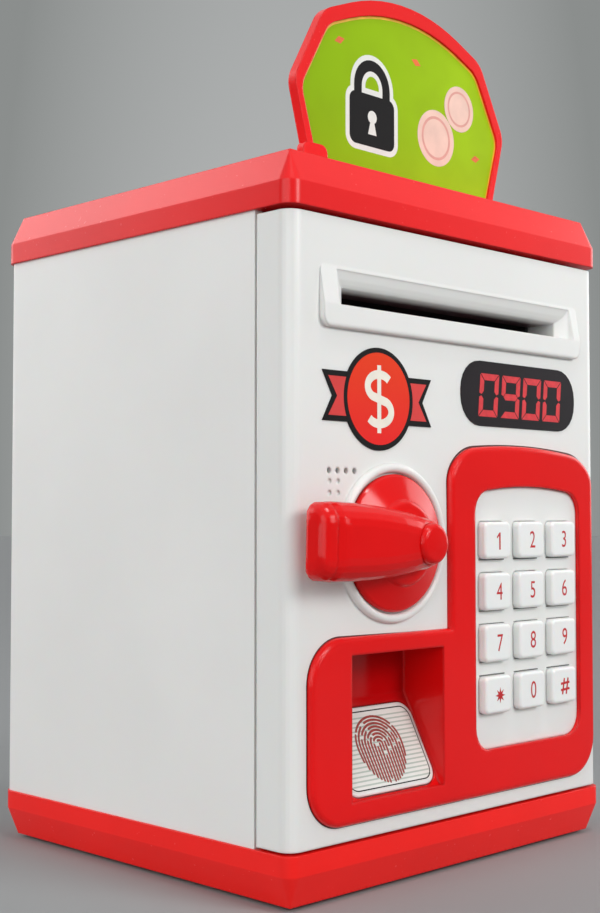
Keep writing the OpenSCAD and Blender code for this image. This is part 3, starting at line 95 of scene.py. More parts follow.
def finish(name, rgb, rough=0.35, tone=0.03, tone_size=40, grain=0.0, grain_size=0.6, metallic=0.0,
           coat=0.0, rough_spread=0.06, stretch=(1, 1, 1), scatter=0.0, specular=0.5, soft=0.0):
    """Moulded or worked surface: a slow drift of tone, a fine grain and an uneven shine.

    Sizes are in millimetres. soft is the radius that edges seem to have, and needs some grain.
    """
    material = bpy.data.materials.new(name)
    material.use_nodes = True
    nodes, links = material.node_tree.nodes, material.node_tree.links
    surface = nodes["Principled BSDF"]
    surface.inputs["Metallic"].default_value = metallic
    surface.inputs["Specular IOR Level"].default_value = specular
    surface.inputs["Coat Weight"].default_value = coat
    surface.inputs["Coat Roughness"].default_value = COAT_ROUGH
    if scatter:
        surface.inputs["Subsurface Weight"].default_value = scatter
        surface.inputs["Subsurface Scale"].default_value = SCATTER_DEPTH

    place = nodes.new("ShaderNodeTexCoord")
    spread = nodes.new("ShaderNodeMapping")
    spread.inputs["Scale"].default_value = stretch
    links.new(place.outputs["Object"], spread.inputs["Vector"])

    drift = nodes.new("ShaderNodeTexNoise")
    drift.inputs["Scale"].default_value = 1 / (tone_size * MM)
    drift.inputs["Detail"].default_value = 3
    links.new(spread.outputs["Vector"], drift.inputs["Vector"])
    ramp = nodes.new("ShaderNodeValToRGB")
    for stop, position, factor in zip(ramp.color_ramp.elements, TONE_STOPS, (1 - tone, 1 + tone)):
        stop.position = position
        stop.color = colour(*shade(rgb, factor))
    links.new(drift.outputs["Fac"], ramp.inputs["Fac"])
    links.new(ramp.outputs["Color"], surface.inputs["Base Color"])

    fine = nodes.new("ShaderNodeTexNoise")
    fine.inputs["Scale"].default_value = 1 / (grain_size * MM)
    fine.inputs["Detail"].default_value = 2
    links.new(spread.outputs["Vector"], fine.inputs["Vector"])
    shine = nodes.new("ShaderNodeMapRange")
    shine.inputs["To Min"].default_value = max(LEAST_ROUGH, rough - rough_spread / 2)
    shine.inputs["To Max"].default_value = rough + rough_spread / 2
    links.new(fine.outputs["Fac"], shine.inputs["Value"])
    links.new(shine.outputs["Result"], surface.inputs["Roughness"])
    if grain:
        bump = nodes.new("ShaderNodeBump")
        bump.inputs["Strength"].default_value = grain
        bump.inputs["Distance"].default_value = GRAIN_DEPTH
        links.new(fine.outputs["Fac"], bump.inputs["Height"])
        links.new(bump.outputs["Normal"], surface.inputs["Normal"])
        if soft:
            edge = nodes.new("ShaderNodeBevel")
            edge.inputs["Radius"].default_value = soft * MM
            links.new(edge.outputs["Normal"], bump.inputs["Normal"])
    return material


red_gloss = finish("red_gloss", (219, 14, 15), rough=0.13, tone=0.02, grain=0.04, grain_size=1.5,
                   specular=0.22, soft=0.8)
bezel_gloss = finish("bezel_gloss", (225, 14, 15), rough=0.15, tone=0.02, grain=0.04, grain_size=1.5,
                     specular=0.3, soft=1.2)
lid_gloss = finish("lid_gloss", (234, 26, 28), rough=0.26, tone=0.02, grain=0.06, grain_size=1.2,
                   specular=0.28, soft=0.5)
base_gloss = finish("base_gloss", (246, 28, 22), rough=0.26, tone=0.02, grain=0.06, grain_size=1.2,
                    specular=0.35, soft=0.5)
white_satin = finish("white_satin", (232, 231, 228), rough=0.34, tone=0.012, tone_size=60, grain=0.1,
                     grain_size=0.8, scatter=0.1, soft=0.3)
door_white = finish("door_white", (229, 229, 226), rough=0.3, tone=0.01, tone_size=70, grain=0.06,
                    grain_size=0.9, scatter=0.1, soft=0.9)
key_white = finish("key_white", (236, 237, 235), rough=0.3, tone=0.005, tone_size=8, grain=0.02,
                   rough_spread=0.02, scatter=0.15, soft=0.3)
inner_white = finish("inner_white", (212, 213, 210), rough=0.42, tone=0.02, grain=0.3, grain_size=0.5)
black_matte = finish("black_matte", (38, 38, 40), rough=0.5, tone=0.08, tone_size=10, grain=0.4,
                     grain_size=0.35)
foot_rubber = finish("foot_rubber", (34, 34, 35), rough=0.75, tone=0.12, tone_size=5, grain=0.6,
                     grain_size=0.4)
tyre_rubber = finish("tyre_rubber", (96, 24, 32), rough=0.6, tone=0.1, tone_size=4, grain=0.6,
                     grain_size=0.3)
sheet_rubber = finish("sheet_rubber", (150, 152, 156), rough=0.55, tone=0.04, tone_size=8, grain=0.3,
                      scatter=0.2)
board_green = finish("board_green", (28, 104, 52), rough=0.3, tone=0.12, tone_size=3, grain=0.2, coat=0.3)
zinc = finish("zinc", (176, 178, 182), rough=0.32, tone=0.06, tone_size=6, grain=0.3, grain_size=0.25,
              metallic=1.0)
brushed = finish("brushed", (182, 184, 188), rough=0.3, tone=0.05, tone_size=3, grain=0.5, grain_size=0.3,
                 metallic=1.0, stretch=(0.05, 1, 1))
brass = finish("brass", (206, 166, 88), rough=0.28, tone=0.05, tone_size=3, grain=0.3, metallic=1.0)
copper = finish("copper", (178, 92, 48), rough=0.35, tone=0.15, tone_size=0.5, grain=0.8, grain_size=0.25,
                metallic=1.0, stretch=(0.1, 1, 1))
nylon = finish("nylon", (230, 226, 208), rough=0.4, tone=0.02, tone_size=6, grain=0.2, scatter=0.2)
cell_green = finish("cell_green", (34, 92, 66), rough=0.3, tone=0.06, tone_size=8, grain=0.1, coat=0.3)
ink = finish("ink", (22, 21, 22), rough=0.45, tone=0.06, tone_size=12, grain=0.1, specular=0.1)
strip_ink = finish("strip_ink", (30, 25, 29), rough=0.4, tone=0.05, tone_size=12, grain=0.15,
                   grain_size=0.5, specular=0.12)
digit_red = finish("digit_red", (212, 56, 62), rough=0.4, tone=0.05, tone_size=1.5, specular=0.2)
numeral_red = finish("numeral_red", (190, 16, 24), rough=0.4, tone=0.03, tone_size=3)
# grey of the painted shadow lines in the gaps round the keys
slit_grey = finish("slit_grey", (96, 96, 94), rough=0.7, tone=0.05, tone_size=4)
cream = finish("cream", (236, 230, 216), rough=0.4, tone=0.02, tone_size=5)
ribbon_red = finish("ribbon_red", (213, 48, 45), rough=0.38, tone=0.03, tone_size=6)
coin_pink = finish("coin_pink", (238, 200, 184), rough=0.4, tone=0.03, tone_size=6)
coin_rose = finish("coin_rose", (222, 158, 146), rough=0.4, tone=0.03, tone_size=4)
spot_orange = finish("spot_orange", (226, 104, 40), rough=0.4, tone=0.06, tone_size=3)
paper_white = finish("paper_white", (226, 228, 222), rough=0.42, tone=0.02, tone_size=8)
line_grey = finish("line_grey", (178, 190, 180), rough=0.4, tone=0.02, tone_size=8)
print_brown = finish("print_brown", (150, 52, 44), rough=0.4, tone=0.1, tone_size=1.5)
# dark of the joint round the bezel, with a painted contact shadow in it
joint_dark = finish("joint_dark", (70, 26, 26), rough=0.6, tone=0.05, tone_size=4)
edge_yellow = finish("edge_yellow", (224, 176, 48), rough=0.4, tone=0.08, tone_size=4)


def mixed(nodes, links, amount, first, second):
    """Colour between two others, each of them a socket or a written colour."""
    mix = nodes.new("ShaderNodeMix")
    mix.data_type = "RGBA"
    links.new(amount, mix.inputs[MIX_AMOUNT])
    for side, source in ((MIX_FIRST, first), (MIX_SECOND, second)):
        if isinstance(source, tuple):
            mix.inputs[side].default_value = source
        else:
            links.new(source, mix.inputs[side])
    return mix.outputs[MIX_RESULT]


def paint_shade_inside(material, box, rgb, start, stop):
    """Painted shade: dark colour inside a box of the part, rising with depth, for a throat that little light
    reaches.
    """
    nodes, links = material.node_tree.nodes, material.node_tree.links
    split = nodes.new("ShaderNodeSeparateXYZ")
    links.new(nodes["Texture Coordinate"].outputs["Object"], split.inputs["Vector"])
    depth = nodes.new("ShaderNodeMapRange")
    depth.inputs["From Min"].default_value = start
    depth.inputs["From Max"].default_value = stop
    links.new(split.outputs["Y"], depth.inputs["Value"])
    amount = depth.outputs["Result"]
    for axis, name in ((0, "X"), (2, "Z")):
        inside = nodes.new("ShaderNodeMath")
        inside.operation = "COMPARE"
        inside.inputs[1].default_value = (box[0][axis] + box[1][axis]) / 2
        inside.inputs[2].default_value = (box[1][axis] - box[0][axis]) / 2
        links.new(split.outputs[name], inside.inputs[0])
        both = nodes.new("ShaderNodeMath")
        both.operation = "MULTIPLY"
        links.new(amount, both.inputs[0])
        links.new(inside.outputs[0], both.inputs[1])
        amount = both.outputs[0]
    # the painted shade is mixed over the part's own colour
    dark = mixed(nodes, links, amount, nodes["Color Ramp"].outputs["Color"], colour(*rgb))
    links.new(dark, nodes["Principled BSDF"].inputs["Base Color"])


PRINT_ROUGH, PRINT_SPECULAR = 0.36, 0.08
BLOTCH_SCALE, BLOTCH_SHADE = 60, 0.8
BLOTCH_FROM, BLOTCH_TO = 0.4, 0.7


def graded(name, first, last, axis, start, stop, spot=0.0):
    """Printed surface whose colour drifts along one axis, with faint blotches."""
    material = finish(name, first, rough=PRINT_ROUGH, tone=0.0, specular=PRINT_SPECULAR)
    nodes, links = material.node_tree.nodes, material.node_tree.links
    place = nodes["Texture Coordinate"]
    split = nodes.new("ShaderNodeSeparateXYZ")
    links.new(place.outputs["Object"], split.inputs["Vector"])
    rise = nodes.new("ShaderNodeMapRange")
    rise.inputs["From Min"].default_value = start
    rise.inputs["From Max"].default_value = stop
    links.new(split.outputs[axis], rise.inputs["Value"])
    drifting = mixed(nodes, links, rise.outputs["Result"], colour(*first), colour(*last))
    blotch = nodes.new("ShaderNodeTexNoise")
    blotch.inputs["Scale"].default_value = BLOTCH_SCALE
    links.new(place.outputs["Object"], blotch.inputs["Vector"])
    amount = nodes.new("ShaderNodeMapRange")
    amount.inputs["From Min"].default_value = BLOTCH_FROM
    amount.inputs["From Max"].default_value = BLOTCH_TO
    amount.inputs["To Max"].default_value = spot
    links.new(blotch.outputs["Fac"], amount.inputs["Value"])
    spotted = mixed(nodes, links, amount.outputs["Result"], drifting, colour(*shade(last, BLOTCH_SHADE)))
    links.new(spotted, nodes["Principled BSDF"].inputs["Base Color"])
    return material


sign_green = graded("sign_green", (138, 180, 9), (166, 205, 20), "X", low("sign_label").x,
                    high("sign_label").x, spot=0.35)
badge_red = graded("badge_red", (230, 40, 42), (228, 66, 32), "Z", low("emblem_label").z,
                   high("emblem_label").z)

# Painted shade inside the bill slot and the finger pocket, where shade falls: a margin round the opening, and from
# and to which depth behind the door's face the painted shade rises

THROAT_ASIDE, THROAT_BELOW, THROAT_ABOVE = 1.0 * MM, 0.4 * MM, 2.8 * MM
THROAT_FROM, THROAT_TO = 2.0 * MM, 7.5 * MM
RECESS_ASIDE, RECESS_ABOVE, RECESS_FOOT_Z = 0.5 * MM, 8 * MM, 0.03
RECESS_FROM, RECESS_TO = 1.0 * MM, 12 * MM

openings = {o["name"]: o["box_m"] for o in frame["record"]["physics"]["openings"]}
slot, pocket = openings["bill_slot"], openings["finger_pocket_top"]
throat = [(slot[0][0] - THROAT_ASIDE, 0, slot[0][2] - THROAT_BELOW),
          (slot[1][0] + THROAT_ASIDE, 0, slot[1][2] + THROAT_ABOVE)]
# painted shade in the bill slot's throat
paint_shade_inside(door_white, throat, (92, 70, 74), FACE_Y + THROAT_FROM, FACE_Y + THROAT_TO)
recess = [(pocket[0][0] - RECESS_ASIDE, 0, RECESS_FOOT_Z),
          (pocket[1][0] + RECESS_ASIDE, 0, pocket[1][2] + RECESS_ABOVE)]
# painted shade in the finger pocket
paint_shade_inside(bezel_gloss, recess, (184, 6, 10), FACE_Y + RECESS_FROM, FACE_Y + RECESS_TO)

DRESS = {
    red_gloss: ["handle_disc", "handle_lever", "handle_cap"],
    bezel_gloss: ["front_bezel"],
    base_gloss: ["base"],
    lid_gloss: ["top_cover", "sign_board"],
    white_satin: ["body_shell"],
    door_white: ["door_shell", "keypad_plate", "fingerprint_pad"],
    key_white: [n for n in NODES if n.startswith("key_")],
    inner_white: ["back_cover", "battery_cover"],
    black_matte: ["pad_switch", "speaker", "roller_frame"],
    foot_rubber: ["feet"],
    tyre_rubber: ["drive_tyres", "idler_tyres"],
    sheet_rubber: ["keypad_membrane"],
    board_green: ["circuit_board"],
    zinc: ["base_screws", "lid_screws", "cover_screws", "shaft_screw", "lock_catch", "latch_tongue",
           "battery_contacts", "solenoid_frame"],
    brushed: ["hinge_pins", "gear_pin", "lock_plunger", "handle_shaft", "drive_axle", "idler_axle",
              "motor_shaft", "feed_motor"],
    brass: ["motor_pinion"],
    copper: ["solenoid_coil"],
    nylon: ["roller_gear", "double_gear", "latch_cam"],
    cell_green: ["battery_cells"],
    ink: ["emblem_label"],
    strip_ink: ["display_label"],
    sign_green: ["sign_label"],
    paper_white: ["fingerprint_label"],
}
for material, names in DRESS.items():
    for name in names:
        NODES[name].data.materials.clear()
        NODES[name].data.materials.append(material)


# Flat printed pieces, drawn in millimetres on a placed plane

PRINT_THICK = 0.02
FRONT = ((1, 0, 0), (0, 0, 1))


def plane(origin, right, up):
    """Matrix whose X, Y and Z are right, up and outward, scaled from millimetres."""
    right, up = Vector(right).normalized(), Vector(up).normalized()
    out = right.cross(up)
    turn = Matrix((right, up, out)).transposed().to_4x4()
    return Matrix.Translation(origin) @ turn @ Matrix.Scale(MM, 4)


def printed(name, body, where, loops, material, lift=0.0):
    """Thin piece that fills the loops, or what lies between them where one is in another."""
    curve = bpy.data.curves.new(name, "CURVE")
    curve.dimensions = "2D"
    curve.fill_mode = "BOTH"
    curve.extrude = PRINT_THICK / 2
    for loop in loops:
        spline = curve.splines.new("POLY")
        spline.points.add(len(loop) - 1)
        for point, (u, v) in zip(spline.points, loop):
            point.co = (u, v, 0, 1)
        spline.use_cyclic_u = True
    settle(name, curve, body, where, material, lift + PRINT_THICK / 2)


def settle(name, curve, body, where, material, lift):
    """Turns a flat curve into a mesh piece that rides on a body."""
    draft = bpy.data.objects.new(name + "_draft", curve)
    bpy.context.scene.collection.objects.link(draft)
    bpy.context.view_layer.update()
    mesh = bpy.data.meshes.new_from_object(draft.evaluated_get(bpy.context.evaluated_depsgraph_get()))
    bpy.data.objects.remove(draft)
    mesh.transform(where @ Matrix.Translation((0, 0, lift)))
    mesh.materials.clear()
    mesh.materials.append(material)
    piece = bpy.data.objects.new(name, mesh)
    bpy.context.scene.collection.objects.link(piece)
    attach(piece, body)


def arc(cx, cy, rx, ry, a0, a1, n=24):
    return [(cx + rx * math.cos(math.radians(a0 + (a1 - a0) * i / n)),
             cy + ry * math.sin(math.radians(a0 + (a1 - a0) * i / n))) for i in range(n + 1)]


def ring(cx, cy, r, n=64):
    return arc(cx, cy, r, r, 0, 360 - 360 / n, n - 1)


def stroke(points, width, caps=True, n=4):
    """Outline of a line of the given width along the points, whose ends are round where it has caps."""
    pts = [Vector(p) for p in points]
    left, right = [], []
    for i, p in enumerate(pts):
        along = (pts[min(i + 1, len(pts) - 1)] - pts[max(i - 1, 0)]).normalized()
        side = Vector((-along.y, along.x)) * width / 2
        left.append(p + side)
        right.append(p - side)

    def cap(p, start):
        base = math.atan2((start - p).y, (start - p).x)
        return [p + Vector((math.cos(base - math.pi * i / n), math.sin(base - math.pi * i / n))) * width / 2
                for i in range(1, n)]
    end = cap(pts[-1], left[-1]) if caps else []
    begin = cap(pts[0], right[0]) if caps else []
    return [tuple(p) for p in left + end + right[::-1] + begin]


def rectangle(x0, x1, y0, y1):
    return [(x0, y0), (x1, y0), (x1, y1), (x0, y1)]


def box_loop(x0, x1, y0, y1, r, n=8):
    """Rectangle with round corners."""
    return (arc(x1 - r, y0 + r, r, r, -90, 0, n) + arc(x1 - r, y1 - r, r, r, 0, 90, n)
            + arc(x0 + r, y1 - r, r, r, 90, 180, n) + arc(x0 + r, y0 + r, r, r, 180, 270, n))


def front_at(node):
    """Plane on the front of a label, with its origin in the label's middle."""
    place = middle(node)
    return plane((place.x, low(node).y, place.z), *FRONT)


# Bezel with the arched top edge and the straight lower edge that the photograph shows

ARCH_ASIDE, ARCH_SLICES, ARCH_CREST = 7 * MM, 24, 0.44
ARCH_LEAST, ARCH_DROP = 0.2, 2.7
NOTCH_X, NOTCH_HALF, CORNER_R = 1.45 * MM, 3.75 * MM, 11.5 * MM
NOTCH_BAND, NOTCH_FADE = 5 * MM, 2.7 * MM


def arched_bezel():
    """Copy of the CAD's bezel, with its top bent into an arch and the notch in its lower edge closed."""
    box, opening_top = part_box("front_bezel"), high("keypad_plate").z
    source = NODES["front_bezel"]
    piece = bpy.data.objects.new("bezel_arched", source.data.copy())
    bpy.context.scene.collection.objects.link(piece)
    work = bmesh.new()
    work.from_mesh(piece.data)
    left, right = low("keypad_plate").x - ARCH_ASIDE, box[1].x
    for i in range(1, ARCH_SLICES):
        cut = left + (right - left) * i / ARCH_SLICES
        bmesh.ops.bisect_plane(work, geom=work.verts[:] + work.edges[:] + work.faces[:],
                               plane_co=(cut, 0, 0), plane_no=(1, 0, 0))
    crest = left + (right - left) * ARCH_CREST
    for v in work.verts:
        rise = (v.co.z - opening_top) / (box[1].z - opening_top)
        if rise > 0:
            aside = (v.co.x - crest) / (right - left) * 2
            v.co.z -= rise * (ARCH_LEAST + ARCH_DROP * aside ** 2) * MM
        level = min(1.0, max(0.0, (box[0].z + NOTCH_BAND - v.co.z) / NOTCH_FADE))
        side = NOTCH_HALF - abs(v.co.x - NOTCH_X)
        if level > 0 and side > 0:
            v.co.z -= level * (CORNER_R - math.sqrt(CORNER_R ** 2 - side ** 2))
    work.to_mesh(piece.data)
    work.free()
    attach(piece, "door")
    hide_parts("front_bezel")
    return piece


# Dark joint line round the bezel, which is set on the door: the joint's own dark with a painted contact shadow

def front_outline(piece):
    """Ordered outline of a piece's front, in metres."""
    mesh = piece.data
    points = [v.co for v in mesh.vertices]
    face_y = min(p.y for p in points)
    front = [f for f in mesh.polygons if all(abs(points[v].y - face_y) < 0.01 * MM for v in f.vertices)]
    sides = {(f.vertices[i - 1], f.vertices[i]) for f in front for i in range(len(f.vertices))}
    after = {a: b for a, b in sides if (b, a) not in sides}
    loops = []
    while after:
        start = next(iter(after))
        loop, here = [start], after.pop(start)
        while here != start:
            loop.append(here)
            here = after.pop(here)
        loops.append([points[v] for v in loop])
    return max(loops, key=lambda l: max(p.x for p in l) - min(p.x for p in l))


def grown(loop, amount):
    """The loop moved outwards, or inwards where the amount is negative."""
    area = sum(loop[i - 1][0] * loop[i][1] - loop[i][0] * loop[i - 1][1] for i in range(len(loop)))
    if area < 0:
        loop = loop[::-1]
    moved = []
    for i, (u, v) in enumerate(loop):
        ahead, behind = Vector(loop[(i + 1) % len(loop)]), Vector(loop[i - 1])
        along = (ahead - behind).normalized()
        moved.append((u + along.y * amount, v - along.x * amount))
    return moved


BEZEL_EDGE = 1.5  # rounding of the bezel's front edges, which the outline of its flat front leaves out
JOINT_OUT, JOINT_IN = 0.3, 0.2


def joint_shadow_line(bezel):
    where = plane((0, FACE_Y, 0), *FRONT)
    rim = [(p.x / MM, p.z / MM) for p in front_outline(bezel)]
    line = [grown(rim, BEZEL_EDGE + JOINT_OUT), grown(rim, BEZEL_EDGE - JOINT_IN)]
    printed("joint_bezel", "door", where, line, joint_dark)


joint_shadow_line(arched_bezel())


# Badge: a red disc with a currency sign on a ribbon

def badge():
    where = front_at("emblem_label")
    w = (high("emblem_label").x - low("emblem_label").x) / 2 / MM
    h = (high("emblem_label").z - low("emblem_label").z) / 2 / MM
    rim, tip = 1.4, 0.478 * h - 1.45
    start, tail, notch = h - 2, w - 2.1, w - 5.4
    for side, name in ((-1, "badge_ribbon_left"), (1, "badge_ribbon_right")):
        loop = [(side * start, -tip), (side * tail, -tip), (side * notch, 0), (side * tail, tip),
                (side * start, tip)]
        printed(name, "door", where, [loop], ribbon_red)
    printed("badge_rim", "door", where, [ring(0, 0, h - 0.02)], ink, lift=0.02)
    printed("badge_disc", "door", where, [ring(0, 0.1, h - rim)], badge_red, lift=0.04)
    half_bar, reach = 0.75, 9.0
    edge, edge_reach = half_bar + 0.22, 6
    printed("badge_bar_edge", "door", where, [rectangle(-edge, edge, -edge_reach, edge_reach)], ribbon_red,
            lift=0.05)
    printed("badge_bar", "door", where, [rectangle(-half_bar, half_bar, -reach, reach)], cream, lift=0.07)
    upper = arc(0.1, 3.3, 4.6, 3.25, 36, 232, 30)
    lower = arc(0, -3.3, 4.75, 3.25, 52, -144, 30)
    printed("badge_sign", "door", where, [stroke(upper + lower, 2.3, caps=False)], cream, lift=0.09)


badge()


# Numeral strip: four slanted digits of seven bars

SEGMENTS = {"0": "abcdef", "9": "abcdfg"}


def digits():
    where = front_at("display_label")
    w, h, t, gap, slant = 8.8, 12.4, 1.9, 0.2, 0.095
    pitch, first, drop = 10.3, -15.0, 0.4
    for i, figure in enumerate("0900"):
        start = first + pitch * i
        loops = [[(start + x + slant * y, y - drop) for x, y in bar_of(part, w, h, t, gap)]
                 for part in SEGMENTS[figure]]
        printed("digit_%d" % (i + 1), "door", where, loops, digit_red)


def bar_of(part, w, h, t, gap):
    """One bar of a seven-bar figure, in the figure's place round the origin."""
    x, y, s = w / 2, h / 2, t / 2
    tip_gap, shoulder = 0.1, 0.4
    if part == "g":
        tip = x - s - tip_gap
        return [(s - tip, -s), (tip - s, -s), (tip, 0), (tip - s, s), (s - tip, s), (-tip, 0)]
    if part in "ad":
        v, inner = (y, y - t) if part == "a" else (-y, -y + t)
        return [(-x + gap, v), (x - gap, v), (x - gap - t, inner), (-x + gap + t, inner)]
    side = 1 if part in "bc" else -1
    up = 1 if part in "bf" else -1
    outer, inner = side * x, side * (x - t)
    return [(outer, up * (y - gap)), (outer, up * (gap + s * shoulder)), (side * (x - s), up * gap),
            (inner, up * (gap + s)), (inner, up * (y - gap - t))]


digits()


# Numerals on the keys

FIGURES = {"key_1": "1", "key_2": "2", "key_3": "3", "key_4": "4", "key_5": "5", "key_6": "6",
           "key_7": "7", "key_8": "8", "key_9": "9", "key_star": "*", "key_0": "0", "key_hash": "#"}
KEY_COLUMNS = 3
FIGURE_SIZE, FIGURE_NARROW, FIGURE_LIFT = 7.0, 0.84, 0.012
FIGURE_RIGHT, RIGHT_LESS_PER_COLUMN, FIGURE_DROP = 0.5, 0.25, 0.25
STAR_POINTS, STAR_INNER_R, STAR_OUTER_R = 8, 0.95, 2.3
STAR = [(r * math.cos(a), r * math.sin(a)) for a, r in
        [(math.pi / STAR_POINTS * i, STAR_INNER_R if i % 2 else STAR_OUTER_R)
         for i in range(2 * STAR_POINTS)]]
ONE = [(-1.25, 1.15), (0.0, 2.45), (0.55, 2.45), (0.55, -2.45), (-0.15, -2.45), (-0.15, 1.55),
       (-0.95, 0.75)]
HASH_LINE = 0.7
DRAWN = {"*": [[STAR]],
         "1": [[ONE]],
         "#": [[stroke([(x - 0.5, -2.4), (x + 0.5, 2.4)], HASH_LINE, caps=False) for x in (-0.9, 1.0)],
               [stroke([(-2.2, y), (2.2, y + 0.3)], HASH_LINE, caps=False) for y in (-1.1, 0.8)]]}


def numerals():
    for place, (node, figure) in enumerate(FIGURES.items()):
        body = node + "_button"
        right = FIGURE_RIGHT - RIGHT_LESS_PER_COLUMN * (place % KEY_COLUMNS)
        where = front_at(node) @ Matrix.Translation((right, -FIGURE_DROP, 0))
        if figure in DRAWN:
            for i, loops in enumerate(DRAWN[figure]):
                printed("figure_%s_%d" % (node, i), body, where, loops, numeral_red, lift=0.01 * i)
            continue
        text = bpy.data.curves.new("figure_" + node, "FONT")
        text.body = figure
        text.size = FIGURE_SIZE
        text.extrude = PRINT_THICK / 2
        text.align_x = "CENTER"
        text.align_y = "CENTER"
        narrow = Matrix.Diagonal((FIGURE_NARROW, 1, 1, 1))
        settle("figure_" + node, text, body, where @ narrow, numeral_red, FIGURE_LIFT)


# rows and edges of the keys that get a painted shadow line, and how tall each line is
SLIT_SHADOWS = ((0, "foot", 0.42), (1, "foot", 0.34), (2, "foot", 0.2), (2, "top", 0.2), (3, "top", 0.34))
SLIT_INSET, SLIT_SHORTER, SLIT_NEAR = 0.9 * MM, 1, 0.02


def slit_shadows():
    """Painted shadow lines in the gaps under the upper keys and over the lower ones."""
    for row, edge, height in SLIT_SHADOWS:
        for column in range(KEY_COLUMNS):
            node = list(FIGURES)[KEY_COLUMNS * row + column]
            level = high(node).z - SLIT_INSET if edge == "top" else low(node).z + SLIT_INSET
            where = plane((middle(node).x, low("keypad_plate").y, level), *FRONT)
            half = (high(node).x - low(node).x) / 2 / MM - SLIT_SHORTER
            z0, z1 = (SLIT_NEAR, height) if edge == "top" else (-height, -SLIT_NEAR)
            printed("slit_%d_%s_%d" % (row, edge, column), "door", where,
                    [rectangle(-half, half, z0, z1)], slit_grey)


numerals()
slit_shadows()


# Finger pad: printed panel with a generic finger mark

LABEL_OUT = 0.075  # from the middle of the label to its face
PANEL_INSET, BORDER, BORDER_R, BORDER_INNER_R = 0.3, 0.32, 3.4, 3.1
RULE_T, RULE_STEP, RULE_FIRST, RULE_SPARE, RULE_SHORTER = 0.42, 1.2, 1.1, 1.6, 0.5
CORE_U, CORE_V, CORE_LENGTH = 0.6, 1.0, 9.6
ARCHES, ARCH_STEP, ARCH_SQUASH = 8, 1.08, 0.9
LEG_REACH, LEG_SPREAD, LEG_BOW = 10.6, 9.4, 0.05
LEG_POINTS, ARCH_POINTS = 12, 22
RIDGE_T, RIDGE_GAP = 0.66, 1.1


def mark_arch(i):
    """Line of one arch of the finger mark: up its right leg, over the core and down its left leg."""
    r = ARCH_STEP + ARCH_STEP * i
    reach = LEG_REACH * math.sqrt(1 - (r / LEG_SPREAD) ** 2)
    bow = LEG_BOW * r
    down = [k / LEG_POINTS for k in range(1, LEG_POINTS + 1)]
    right = [(CORE_U + r - bow * k * k, CORE_V - reach * k) for k in reversed(down)]
    left = [(CORE_U - r + bow * k * k, CORE_V - reach * k) for k in down]
    return right + arc(CORE_U, CORE_V, r, ARCH_SQUASH * r, 0, 180, ARCH_POINTS) + left


def finger_mark():
    """Ridges of the mark: a straight core, and arches round it that are each broken at two points."""
    loops = [stroke([(CORE_U, CORE_V), (CORE_U, CORE_V - CORE_LENGTH)], RIDGE_T)]
    for i in range(ARCHES):
        line = mark_arch(i)
        breaks = (0, 9 + (i * 5) % 9, 27 + (i * 4) % 8, len(line))
        for start, stop in zip(breaks, breaks[1:]):
            begin = start
            while start and (Vector(line[begin]) - Vector(line[start - 1])).length < RIDGE_GAP:
                begin += 1
            loops.append(stroke(line[begin:stop], RIDGE_T))
    return loops


def finger_print():
    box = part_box("fingerprint_label")
    up = Vector((1, 0, 0)).cross(PAD_OUT) * -1
    centre = (box[0] + box[1]) / 2 + PAD_OUT * LABEL_OUT * MM
    where = plane(centre, (1, 0, 0), up)
    half = (box[1] - box[0]).x / 2 / MM - PANEL_INSET
    h = (box[1] - box[0]).z / 2 / MM / up.z - PANEL_INSET
    rule = half - RULE_SHORTER
    feet = [-h + RULE_FIRST + RULE_STEP * i for i in range(int((2 * h - RULE_SPARE) / RULE_STEP))]
    lines = [rectangle(-rule, rule, y, y + RULE_T) for y in feet]
    border = [box_loop(-half, half, -h, h, BORDER_R),
              box_loop(-half + BORDER, half - BORDER, -h + BORDER, h - BORDER, BORDER_INNER_R)]
    printed("pad_lines", "finger_button", where, lines, line_grey)
    printed("pad_border", "finger_button", where, border, ink, lift=0.02)
    printed("pad_mark", "finger_button", where, finger_mark(), print_brown, lift=0.03)


finger_print()


# Sign: a generic padlock and coins on green

EDGE_OUT, EDGE_IN = 0.05, 0.75
LOCK, LOCK_EDGE = (-24, -5, 12, 27, 2.5), (-25.6, -3.4, 10.4, 28.6, 4)
HOOP = [(-20.5, 25)] + arc(-14.5, 29, 6, 6.5, 180, 0, 20) + [(-8.5, 25)]
HOOP_T, HOOP_EDGE_T = 3.2, 6.2
KEYHOLE = ([(-16.3, 15.5), (-12.7, 15.5), (-13.7, 19.2)] + arc(-14.5, 20.6, 1.9, 1.9, -60, 240, 16)
           + [(-15.3, 19.2)])
COINS, COIN_RING = ((14, 20, 8.5), (25, 31, 7)), (0.78, 0.68)
SPARKS = ((-28, 40, 20), (5, 41, -15), (33, 17, 10))
SPARK_LONG, SPARK_WIDE = 2.2, 1.1


